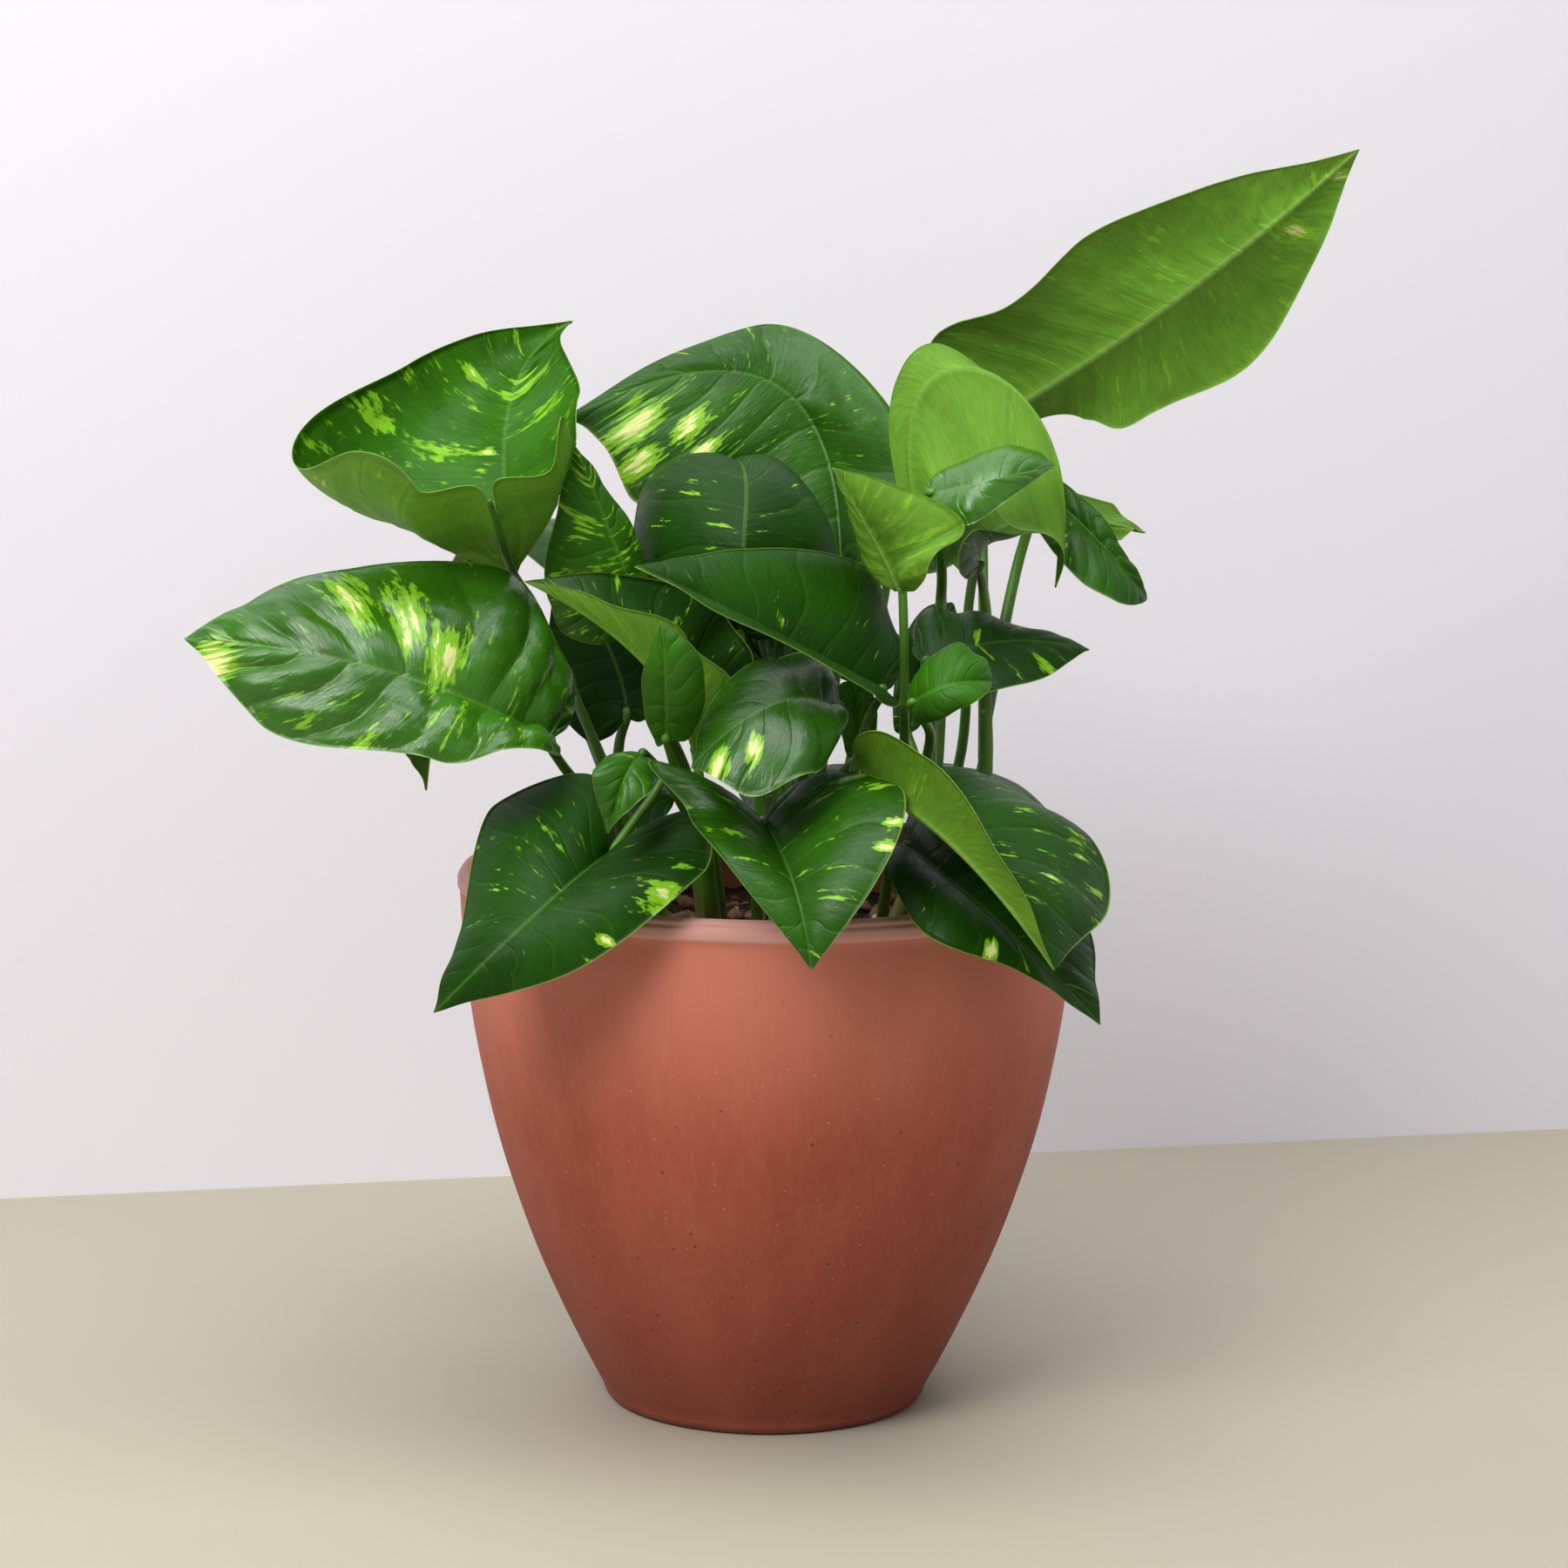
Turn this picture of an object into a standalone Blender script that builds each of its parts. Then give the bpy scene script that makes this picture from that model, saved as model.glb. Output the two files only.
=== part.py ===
import math
import bpy
import numpy as np

# Pothos in a round pot. Written in millimetres, turned to metres as each piece is made.
# The pot stands on z = 0 with its axis on the z axis; the front of the plant faces -y.
POT_HEIGHT = 130.0
FOOT_RADIUS = 38.0
MOUTH_GAIN = 36.5
WALL = 3.6
FLOOR = 6.0
FOOT_ROUNDING = 3.0
LIP_RADIUS = 75.0
LIP_HEIGHT = 3.4
SOIL_TOP = 114.0
GAP = 0.3
LEAF_THICKNESS = 0.7
PETIOLE_RADIUS = 1.3
VINE_RADIUS = 1.9
SHARP_ANGLE = math.radians(35)
ARCH_START = 0.35
VEIN_START = 0.3
VEIN_EASE = 1.1
FORWARD_EASE = 1.35
REACH_EASE = 0.92
SLOPE_STEP = 0.01

# Heart outline of half a leaf, from the notch where the stalk joins round to the tip:
# along = share of the midrib, across = share of the half's greatest reach.
HEART = [(0, 0), (-0.06, 0.12), (-0.11, 0.30), (-0.12, 0.57), (0.02, 0.86), (0.20, 1.0),
         (0.42, 0.95), (0.63, 0.70), (0.80, 0.40), (0.92, 0.155), (1, 0)]
# Where along the outline each named margin point lies.
STATIONS = {"notch": 0.2, "lobe": 0.3, "wide": 0.5, "fore": 0.7}

# Every leaf: its midrib from stalk to tip, then points its left and right margins pass
# through (left and right as seen looking down on the upper face with the tip ahead),
# and how far each half arches up (+) or sags (-) between midrib and margin.
LEAVES = {
    "upper_left": dict(
        rib=[(-60, -26, 205), (-63, -12, 224), (-62, 2, 245), (-48, 8, 262)],
        left=dict(notch=(-64.4, -60, 226), lobe=(-80, -68, 228), wide=(-110, -40, 233), fore=(-87, 3, 252)),
        right=dict(notch=(-62.8, -59, 227), lobe=(-50, -55, 234), wide=(-45, -35, 238), fore=(-48, 0, 251)),
        bulge=(-0.22, -0.12)),
    "left_long": dict(
        rib=[(-51, -50, 169), (-87, -66, 187), (-133, -60, 193)],
        left=dict(lobe=(-50, -62, 168), wide=(-75, -75, 168), fore=(-115, -68, 175)),
        right=dict(lobe=(-46, -38, 183), wide=(-60, -34, 205), fore=(-110, -45, 205)),
        bulge=(0.12, 0.15)),
    "left_behind": dict(
        rib=[(-61, 25, 190), (-75, 15, 191), (-83, 0, 149)],
        left=dict(wide=(-67, 1, 175), fore=(-87, -7, 159)),
        right=dict(wide=(-73, 22, 203), fore=(-82, 12, 169)),
        bulge=(0.07, 0.07)),
    "top_centre": dict(
        rib=[(17, 10, 203), (0, 28, 246), (-50, 0, 239)],
        left=dict(wide=(-12, 12, 217), fore=(-35, 2, 222)),
        right=dict(lobe=(24, -2, 211), wide=(35, 8, 229), fore=(-4, 38, 260)),
        bulge=(0.06, 0.06)),
    "centre_dome": dict(
        rib=[(-7, -30, 192), (-6, -42, 217), (-7, -18, 230), (-18, 5, 220)],
        left=dict(lobe=(-17, -24, 192), wide=(-33, -18, 208), fore=(-27, -4, 227)),
        right=dict(lobe=(5, -24, 192), wide=(15, -20, 205), fore=(4, -4, 228)),
        bulge=(0.15, 0.15)),
    "triangle": dict(
        rib=[(-29, -38, 196), (-37, -40, 216), (-45, -42, 236)],
        left=dict(lobe=(-42, -30, 189), wide=(-52, -32, 199), fore=(-49, -39, 222)),
        right=dict(lobe=(-28, -34, 198), wide=(-29, -30, 207), fore=(-35, -34, 222)),
        bulge=(0.10, 0.10)),
    "centre_long": dict(
        rib=[(26, -58, 182), (-2, -76, 199), (-30, -82, 213)],
        left=dict(lobe=(28, -66, 180), wide=(20, -76, 186), fore=(-10, -84, 203)),
        right=dict(lobe=(30, -42, 191), wide=(21, -44, 210), fore=(-7, -68, 215)),
        bulge=(0.10, 0.13)),
    "small_round": dict(
        rib=[(32, -70, 181), (40, -76, 186), (50, -68, 186)],
        left=dict(wide=(39, -62, 192)),
        right=dict(wide=(40, -76, 179)),
        bulge=(0.15, 0.15), blunt=0.6),
    "funnel": dict(
        rib=[(30, -64, 206), (23, -60, 219), (14, -56, 233)],
        left=dict(lobe=(35, -80, 212), wide=(43, -80, 223), fore=(26, -68, 231)),
        right=dict(lobe=(26, -50, 207), wide=(20, -46, 220), fore=(17, -52, 227)),
        bulge=(-0.15, -0.15)),
    "pale_back": dict(
        rib=[(34, -24, 221), (40, -20, 252), (61, -28, 244), (66, -38, 204)],
        left=dict(lobe=(39, -33, 219), wide=(46, -32, 226), fore=(59, -40, 217)),
        right=dict(wide=(29, -15, 249), fore=(52, -13, 251)),
        bulge=(0.04, 0.04)),
    "glossy_small": dict(
        rib=[(36, -54, 227), (50, -62, 231), (65, -46, 233)],
        left=dict(wide=(45, -48, 234), fore=(59, -42, 237)),
        right=dict(wide=(44, -66, 221), fore=(57, -58, 229)),
        bulge=(0.12, 0.12), lobe=0.5),
    "top_right": dict(
        rib=[(59, 14, 242), (102, 22, 271), (142, 30, 304)],
        left=dict(lobe=(65, 22, 238), wide=(90, 27, 238), fore=(125, 35, 261)),
        right=dict(lobe=(36, 4, 252), wide=(58, 2, 268), fore=(91, 15, 291)),
        bulge=(0.08, 0.08), full=0.85),
    "small_tip_back": dict(
        rib=[(52, 34, 220), (56, 32, 238), (63, 22, 256)],
        left=dict(wide=(43, 32, 238)),
        right=dict(wide=(65, 34, 238)),
        bulge=(0.10, 0.10)),
    "right_under": dict(
        rib=[(49, -24, 207), (61, -8, 217), (92, 30, 210)],
        left=dict(lobe=(43, -38, 210), wide=(59, -26, 215), fore=(86, 19, 210)),
        right=dict(lobe=(40, -14, 212), wide=(57, 4, 223), fore=(83, 28, 217)),
        bulge=(0.07, 0.07)),
    "right_droop": dict(
        rib=[(65, -10, 224), (78, -22, 212), (89, -16, 199)],
        left=dict(wide=(73, -14, 223)),
        right=dict(wide=(68, -30, 209)),
        bulge=(0.10, 0.10), blunt=0.7),
    "right_mid": dict(
        rib=[(36, -40, 186), (54, -36, 191), (75, -26, 188)],
        left=dict(lobe=(34, -24, 194), wide=(46, -18, 195), fore=(63, -22, 192)),
        right=dict(lobe=(38, -50, 179), wide=(49, -52, 181), fore=(66, -38, 184)),
        bulge=(0.10, 0.10)),
    "kidney": dict(
        rib=[(16, -58, 178), (1, -80, 182), (-17, -84, 168)],
        left=dict(lobe=(18, -68, 176), wide=(10, -88, 168), fore=(-6, -94, 164)),
        right=dict(lobe=(13, -46, 186), wide=(-1, -52, 189), fore=(-15, -68, 176)),
        bulge=(0.12, 0.12)),
    "taco": dict(
        rib=[(-17, -42, 165), (-29, -60, 189), (-56, -52, 206)],
        left=dict(lobe=(-8, -54, 177), wide=(-18, -63, 194), fore=(-38, -62, 203)),
        right=dict(lobe=(-5, -43, 179), wide=(-10, -47, 198), fore=(-37, -51, 208)),
        bulge=(-0.08, -0.10)),
    "left_shade": dict(
        rib=[(-34, -10, 169), (-39, -2, 185), (-52, 8, 203)],
        left=dict(wide=(-52, 0, 172)),
        right=dict(wide=(-24, -4, 186)),
        bulge=(0.10, 0.10)),
    "small_front": dict(
        rib=[(-23, -74, 173), (-23, -84, 188), (-24, -84, 201)],
        left=dict(wide=(-28, -80, 183)),
        right=dict(wide=(-14, -80, 185)),
        bulge=(0.10, 0.10)),
    "small_folded": dict(
        rib=[(-28, -64, 168), (-32, -76, 165), (-36, -78, 152)],
        left=dict(wide=(-26, -74, 162)),
        right=dict(wide=(-38, -74, 168)),
        bulge=(0.10, 0.10)),
    "front_left": dict(
        rib=[(-36, -55, 144), (-53, -80, 133), (-75, -80, 111)],
        left=dict(lobe=(-18, -58, 154), wide=(-14, -72, 143), fore=(-47, -84, 120)),
        right=dict(lobe=(-39, -42, 159), wide=(-63, -48, 153), fore=(-70, -72, 128)),
        bulge=(0.10, 0.12)),
    "front_centre": dict(
        rib=[(-1, -66, 153), (6, -92, 143), (10, -102, 126)],
        left=dict(lobe=(9, -56, 162), wide=(30, -74, 162), fore=(24, -98, 145)),
        right=dict(notch=(-11, -62, 160), lobe=(-24, -66, 166), wide=(-18, -76, 157), fore=(-6, -97, 145)),
        bulge=(0.12, 0.10)),
    "front_right_fold": dict(
        rib=[(23, -60, 160), (42, -88, 151), (64, -95, 125)],
        left=dict(lobe=(41, -46, 162), wide=(71, -48, 150), fore=(77, -65, 132)),
        right=dict(lobe=(20, -68, 173), wide=(35, -84, 171), fore=(52, -98, 151)),
        bulge=(0.10, 0.05)),
    "front_right_low": dict(
        rib=[(32, -48, 145), (53, -72, 131), (76, -72, 108)],
        left=dict(lobe=(36, -28, 151), wide=(61, -40, 145), fore=(75, -58, 123)),
        right=dict(lobe=(27, -60, 143), wide=(35, -82, 131), fore=(57, -82, 122)),
        bulge=(0.10, 0.10)),
    "small_behind": dict(
        rib=[(21, -38, 164), (20, -42, 174), (19, -44, 183)],
        left=dict(wide=(15, -43, 175)),
        right=dict(wide=(25, -43, 175)),
        bulge=(0.10, 0.10)),
    "glossy_behind": dict(
        rib=[(4, -14, 171), (-1, -18, 182), (-7, -14, 193)],
        left=dict(wide=(-8, -16, 182)),
        right=dict(wide=(5, -18, 186)),
        bulge=(0.10, 0.10)),
    "right_shade": dict(
        rib=[(33, 0, 165), (38, 10, 183), (43, 15, 194)],
        left=dict(wide=(31, 6, 181)),
        right=dict(wide=(43, 10, 182)),
        bulge=(0.10, 0.10)),
    "back_high": dict(
        rib=[(-5, 40, 205), (-9, 65, 226), (-22, 93, 221)],
        left=dict(wide=(-34, 56, 217)),
        right=dict(wide=(19, 63, 222)),
        bulge=(0.12, 0.12)),
    "back_left_high": dict(
        rib=[(-35, 32, 195), (-58, 54, 207), (-84, 72, 192)],
        left=dict(wide=(-60, 26, 204)),
        right=dict(wide=(-40, 68, 200)),
        bulge=(0.12, 0.12)),
    "back_right_high": dict(
        rib=[(30, 34, 205), (46, 62, 217), (60, 90, 206)],
        left=dict(wide=(16, 60, 212)),
        right=dict(wide=(60, 42, 212)),
        bulge=(0.12, 0.12)),
    "back_left_mid": dict(
        rib=[(-16, 50, 172), (-34, 74, 177), (-52, 96, 166)],
        left=dict(wide=(-46, 58, 172)),
        right=dict(wide=(-14, 82, 172)),
        bulge=(0.12, 0.12)),
    "back_centre_mid": dict(
        rib=[(8, 46, 178), (12, 75, 182), (14, 102, 166)],
        left=dict(wide=(-10, 66, 176)),
        right=dict(wide=(36, 62, 174)),
        bulge=(0.12, 0.12)),
    "back_right_mid": dict(
        rib=[(32, 40, 144), (50, 60, 146), (70, 76, 126)],
        left=dict(wide=(34, 64, 142)),
        right=dict(wide=(62, 44, 136)),
        bulge=(0.12, 0.12)),
    "back_left_low": dict(
        rib=[(-24, 50, 140), (-38, 76, 140), (-52, 98, 118)],
        left=dict(wide=(-48, 60, 134)),
        right=dict(wide=(-18, 80, 134)),
        bulge=(0.12, 0.12)),
    "back_right_low": dict(
        rib=[(10, 54, 142), (16, 82, 142), (22, 106, 118)],
        left=dict(wide=(-8, 78, 138)),
        right=dict(wide=(30, 78, 137)),
        bulge=(0.12, 0.12)),
}

# Single stalks: points from the soil up; each one ends just short of its leaf's base.
STALKS = {
    "upper_left": [(-24, -6, 115), (-34, -14, 145), (-48, -22, 180), (-55, -23, 196)],
    "top_centre": [(8, 5, 115), (12, 1, 150), (17, -2, 187)],
    "triangle": [(-14, -18, 115), (-20, -22, 150), (-27, -34, 178)],
    "centre_long": [(14, -30, 115), (17, -38, 145), (22, -50, 172)],
    "funnel": [(26, -28, 115), (29, -33, 140), (31, -44, 160), (31, -56, 180)],
    "pale_back": [(30, -4, 115), (40, -2, 150), (41, -4, 195), (39, -22, 210)],
    "top_right": [(30, 8, 115), (46, 8, 155), (48, 8, 195), (54, 12, 225)],
    "front_left": [(-10, -26, 115), (-14, -34, 145), (-22, -43, 160), (-28, -48, 154)],
    "front_centre": [(-2, -28, 115), (-3, -34, 140), (-1, -54, 151)],
    "front_right_fold": [(18, -38, 115), (20, -44, 135), (21, -52, 152)],
    "front_right_low": [(36, -24, 115), (37, -31, 130), (34, -41, 142)],
    "back_high": [(-2, 14, 115), (-3, 18, 150), (-5, 30, 185)],
    "back_left_high": [(-16, 10, 115), (-22, 16, 150), (-32, 27, 180)],
    "back_right_high": [(12, 16, 115), (20, 20, 155), (27, 28, 188)],
}

# Vines: a short stem from the soil, and the leaf stalks that branch from it.
VINES = {
    "left": dict(
        stem=[(-30, 0, 115), (-34, -1, 135), (-38, -5, 151)],
        stalks={"left_long": [(-37, -4, 147), (-45, -20, 154), (-50, -42, 165)],
                "left_behind": [(-36, -3, 144), (-44, 16, 160), (-54, 26, 181)],
                "left_shade": [(-37, -5, 149), (-36, -6, 162)]}),
    "front": dict(
        stem=[(-12, -30, 115), (-14, -36, 135), (-16, -42, 150)],
        stalks={"taco": [(-15, -40, 146), (-16, -41, 158)],
                "small_front": [(-15, -40, 147), (-19, -50, 162), (-22, -66, 172)],
                "small_folded": [(-15, -39, 143), (-22, -50, 158)]}),
    "centre": dict(
        stem=[(2, -14, 115), (3, -18, 135), (4, -22, 150)],
        stalks={"centre_dome": [(4, -21, 146), (-3, -23, 170)],
                "small_behind": [(3, -19, 140), (12, -30, 154)],
                "glossy_behind": [(4, -21, 148), (4, -18, 162)],
                "kidney": [(4, -20, 143), (10, -38, 165)]}),
    "right": dict(
        stem=[(36, -10, 115), (38, -12, 140), (38, -16, 155)],
        stalks={"right_mid": [(38, -15, 150), (38, -30, 172)],
                "small_round": [(38, -14, 148), (37, -34, 162), (37, -54, 172), (34, -65, 178)],
                "glossy_small": [(38, -15, 152), (40, -12, 190), (40, -26, 208), (36, -46, 224)],
                "right_shade": [(38, -13, 145), (36, -6, 156)]}),
    "right_top": dict(
        stem=[(40, 2, 115), (48, 0, 140), (52, 0, 155), (52, -2, 170)],
        stalks={"right_under": [(52, -1, 165), (52, -2, 190), (50, -16, 203)],
                "right_droop": [(52, -2, 168), (60, 26, 200), (66, 24, 224), (62, 8, 233), (58, -5, 229)],
                "small_tip_back": [(52, 0, 158), (52, 18, 190), (52, 31, 214)]}),
    "back": dict(
        stem=[(0, 34, 115), (0, 38, 128), (0, 40, 142)],
        stalks={"back_left_mid": [(0, 40, 139), (-8, 42, 158)],
                "back_centre_mid": [(0, 40, 138), (6, 41, 162)],
                "back_right_mid": [(0, 39, 133), (12, 35, 139), (26, 36, 142)],
                "back_left_low": [(0, 36, 122), (-12, 42, 132)],
                "back_right_low": [(0, 37, 124), (6, 46, 131)]}),
}
STANDOFF = 3.5


def spline(points, share):
    """Catmull-Rom curve through points at shares 0 to 1."""
    points = np.asarray(points, float)
    count = len(points) - 1
    x = np.clip(np.asarray(share, float) * count, 0, count - 1e-9)
    i = x.astype(int)
    f = (x - i)[..., None]
    ends = np.vstack([2 * points[0] - points[1], points, 2 * points[-1] - points[-2]])
    a, b, c, d = ends[i], ends[i + 1], ends[i + 2], ends[i + 3]
    cubic = (2 * a - 5 * b + 4 * c - d) * f ** 2 + (3 * b - a - 3 * c + d) * f ** 3
    return 0.5 * (2 * b + (c - a) * f + cubic)


def unit(v):
    return v / np.maximum(np.linalg.norm(v, axis=-1, keepdims=True), 1e-9)


def polynomial(points, u):
    """The one polynomial through evenly spaced points, at u from 0 to 1."""
    points = np.asarray(points, float)
    knots = np.linspace(0, 1, len(points))
    total = 0
    for i, point in enumerate(points):
        weight = np.ones_like(u)
        for j, knot in enumerate(knots):
            if j != i:
                weight = weight * (u - knot) / (knots[i] - knot)
        total = total + weight[..., None] * point
    return total


def midrib(points, u):
    """The midrib at u, running straight on behind the stalk for u below 0."""
    u = np.asarray(u, float)
    points = np.asarray(points, float)
    size = np.linalg.norm(np.diff(points, axis=0), axis=1).sum()
    start = unit(polynomial(points, np.array(0.02)) - points[0])
    return polynomial(points, np.clip(u, 0, 1)) + np.minimum(u, 0)[..., None] * size * start


def stretch(leaf, along):
    """Longer lobes behind the stalk, and the widest place moved toward the tip."""
    back = np.minimum(along, 0) * leaf.get("lobe", 1.0)
    ahead = np.maximum(along, 0) ** leaf.get("full", 1.0)
    return back + ahead


def reach(leaf, side, share):
    """Vector from the midrib to the margin at full width, eased between the given points."""
    stations = []
    vectors = []
    for name, place in STATIONS.items():
        if name in leaf[side]:
            along, across = spline(HEART, place)
            foot = midrib(leaf["rib"], stretch(leaf, along))
            stations.append(place)
            vectors.append((np.array(leaf[side][name], float) - foot) / across)
    vectors = np.array(vectors)
    if len(stations) == 1:
        return np.repeat(vectors, len(share), 0)
    stations = np.array(stations)
    i = np.clip(np.searchsorted(stations, share, side="right") - 1, 0, len(stations) - 2)
    f = np.clip((share - stations[i]) / (stations[i + 1] - stations[i]), 0, 1)
    f = (f * f * (3 - 2 * f))[:, None]
    return vectors[i] * (1 - f) + vectors[i + 1] * f


def leaf_grid(leaf, rows, columns):
    """Points of both halves on a grid of side veins (rows) by steps out to the margin."""
    share = np.linspace(0, 1, rows + 1)
    out = np.linspace(0, 1, columns + 1)
    heart = spline(HEART, share)
    along = stretch(leaf, heart[:, 0])
    across = np.clip(heart[:, 1], 0, None)
    across = np.where(share > 0.5, across ** leaf.get("blunt", 1.0), across)
    vein = stretch(leaf, np.clip((share - VEIN_START) / (1 - VEIN_START), 0, 1) ** VEIN_EASE)
    u = vein[:, None] + (along - vein)[:, None] * out[None] ** FORWARD_EASE
    foot = midrib(leaf["rib"], u)
    inside = np.clip(u, 0, 1) * (1 - 2 * SLOPE_STEP) + SLOPE_STEP
    ahead = unit(midrib(leaf["rib"], inside + SLOPE_STEP) - midrib(leaf["rib"], inside - SLOPE_STEP))
    halves = []
    for sign, side, arch in ((-1, "left", leaf["bulge"][0]), (1, "right", leaf["bulge"][1])):
        vector = reach(leaf, side, share)
        normal = sign * unit(np.cross(vector[:, None, :] + 0 * ahead, ahead))
        width = np.linalg.norm(vector, axis=1) * across
        rise = (arch * width * np.clip(share / ARCH_START, 0, 1))[:, None] * 4 * out * (1 - out)
        lateral = (vector * across[:, None])[:, None, :] * (out ** REACH_EASE)[:, None]
        halves.append(foot + lateral + normal * rise[..., None])
    return halves


def leaf_sheet(leaf, rows, columns):
    """One welded sheet of triangles: both halves share the midrib, the base and the tip."""
    halves = leaf_grid(leaf, rows, columns)
    base = np.array(leaf["rib"][0], float)
    points = [base, np.array(leaf["rib"][-1], float)]
    ids = {}
    for side in (0, 1):
        for i in range(rows + 1):
            for j in range(columns + 1):
                at_base = i == 0 or (j == 0 and i / rows <= VEIN_START)
                if at_base:
                    ids[side, i, j] = 0
                elif i == rows:
                    ids[side, i, j] = 1
                elif j == 0 and side == 1:
                    ids[side, i, j] = ids[0, i, 0]
                else:
                    ids[side, i, j] = len(points)
                    points.append(halves[side][i, j])
    faces = []
    for side in (0, 1):
        for i in range(rows):
            for j in range(columns):
                a = ids[side, i, j]
                b = ids[side, i, j + 1]
                c = ids[side, i + 1, j + 1]
                d = ids[side, i + 1, j]
                for face in ((a, b, c), (a, c, d)):
                    if len(set(face)) == 3:
                        faces.append(face if side == 1 else face[::-1])
    return np.array(points), np.array(faces)


def thicken(points, faces, thickness):
    """A closed shell: the sheet moved half a thickness each way, with its rim joined."""
    corner = points[faces]
    area = np.cross(corner[:, 1] - corner[:, 0], corner[:, 2] - corner[:, 0])
    normal = np.zeros_like(points)
    for k in range(3):
        np.add.at(normal, faces[:, k], area)
    normal = unit(normal) * thickness / 2
    count = len(points)
    solid = np.vstack([points + normal, points - normal])
    top = [tuple(face) for face in faces.tolist()]
    bottom = [(c + count, b + count, a + count) for a, b, c in top]
    edges = set()
    for a, b, c in top:
        edges.update([(a, b), (b, c), (c, a)])
    rim = []
    for a, b in sorted(edges):
        if (b, a) not in edges:
            rim.append((b, a, a + count))
            rim.append((b, a + count, b + count))
    return solid, top + bottom + rim


def tube(path, radii, sides, steps):
    """A round stalk along a smooth path, closed at both ends."""
    share = np.linspace(0, 1, steps + 1)
    line = spline(path, share)
    radius = np.interp(share, np.linspace(0, 1, len(radii)), radii)
    ahead = unit(np.gradient(line, axis=0))
    across = np.zeros_like(line)
    side = np.cross(ahead[0], (0.0, 1.0, 0.0))
    for i in range(len(line)):
        side = side - (side @ ahead[i]) * ahead[i]
        side = side / np.linalg.norm(side)
        across[i] = side
    other = np.cross(ahead, across)
    angle = np.linspace(0, 2 * math.pi, sides, endpoint=False)
    ring = across[:, None] * np.cos(angle)[:, None] + other[:, None] * np.sin(angle)[:, None]
    points = (line[:, None] + ring * radius[:, None, None]).reshape(-1, 3)
    faces = []
    for i in range(steps):
        for j in range(sides):
            a = i * sides + j
            b = i * sides + (j + 1) % sides
            faces.append((a, b, b + sides, a + sides))
    faces.append(tuple(range(sides))[::-1])
    faces.append(tuple(range(steps * sides, (steps + 1) * sides)))
    return points, faces


def stalk_path(leaf, points):
    """The given points, then an end point just short of the leaf's base."""
    base = np.array(LEAVES[leaf]["rib"][0], float)
    last = np.array(points[-1], float)
    return [np.array(p, float) for p in points] + [base - unit(base - last) * STANDOFF]


def turned(profile, sides):
    """A body of revolution about z from a profile that starts and ends on the axis."""
    inner = profile[1:-1]
    points = [(0.0, 0.0, profile[0][1])]
    for radius, z in inner:
        for j in range(sides):
            angle = 2 * math.pi * j / sides
            points.append((radius * math.cos(angle), radius * math.sin(angle), z))
    points.append((0.0, 0.0, profile[-1][1]))
    last = len(points) - 1
    faces = []
    for j in range(sides):
        k = (j + 1) % sides
        faces.append((0, 1 + k, 1 + j))
        for i in range(len(inner) - 1):
            a = 1 + i * sides
            faces.append((a + j, a + k, a + sides + k, a + sides + j))
        a = 1 + (len(inner) - 1) * sides
        faces.append((a + j, a + k, last))
    return np.array(points), faces


def wall_radius(z):
    """Outside radius of the pot wall: quick to open near the foot, almost upright at the lip."""
    t = z / POT_HEIGHT
    return FOOT_RADIUS + MOUTH_GAIN * (0.95 * (1 - (1 - t) ** 2.05) + 0.05 * t)


def pot_profile():
    """Half section of the pot: under the foot, up the wall, over the lip, down inside."""
    profile = [(0, 0), (FOOT_RADIUS - FOOT_ROUNDING + 3.0, 0)]
    for turn in (30, 60):
        angle = math.radians(turn)
        radius = wall_radius(FOOT_ROUNDING) - FOOT_ROUNDING * (1 - math.sin(angle))
        profile.append((radius, FOOT_ROUNDING * (1 - math.cos(angle))))
    for z in (FOOT_ROUNDING, 9.5, 20, 34, 50, 68, 88, 108, POT_HEIGHT - LIP_HEIGHT):
        profile.append((wall_radius(z), z))
    profile.append((LIP_RADIUS, POT_HEIGHT - LIP_HEIGHT + 0.5))
    profile.append((LIP_RADIUS, POT_HEIGHT - 0.7))
    profile.append((LIP_RADIUS - 0.8, POT_HEIGHT))
    profile.append((LIP_RADIUS - 3.2, POT_HEIGHT + 1.5))
    profile.append((LIP_RADIUS - 4.4, POT_HEIGHT + 0.6))
    for z in (SOIL_TOP, 88, 60, 34, 15):
        profile.append((wall_radius(z) - WALL, z))
    profile.append((wall_radius(FLOOR) - WALL - 3.5, FLOOR))
    profile.append((0, FLOOR))
    return profile


def soil_profile():
    """The soil fills the pot to just below the lip, a hair clear of the wall."""
    profile = [(0, FLOOR + GAP), (wall_radius(FLOOR) - WALL - 3.5 - GAP, FLOOR + GAP)]
    for z in (15, 34, 60, 88):
        profile.append((wall_radius(z) - WALL - GAP - 0.1, z))
    profile.append((wall_radius(SOIL_TOP) - WALL - GAP - 0.1, SOIL_TOP - 1.5))
    profile.append((wall_radius(SOIL_TOP) - WALL - 4.0, SOIL_TOP))
    profile.append((0, SOIL_TOP))
    return profile


def material(name, colour, roughness):
    mat = bpy.data.materials.new(name)
    mat.use_nodes = True
    shader = mat.node_tree.nodes["Principled BSDF"]
    shader.inputs["Base Color"].default_value = (*colour, 1)
    shader.inputs["Roughness"].default_value = roughness
    return mat


def piece(name, points, faces, mat):
    """A mesh object in metres, shaded smooth up to its sharp edges, with one material."""
    mesh = bpy.data.meshes.new(name)
    mesh.from_pydata((np.asarray(points) / 1000).tolist(), [], [tuple(f) for f in faces])
    mesh.update()
    mesh.shade_smooth()
    mesh.set_sharp_from_angle(angle=SHARP_ANGLE)
    mesh.materials.append(mat)
    made = bpy.data.objects.new(name, mesh)
    bpy.context.collection.objects.link(made)
    return made


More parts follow.
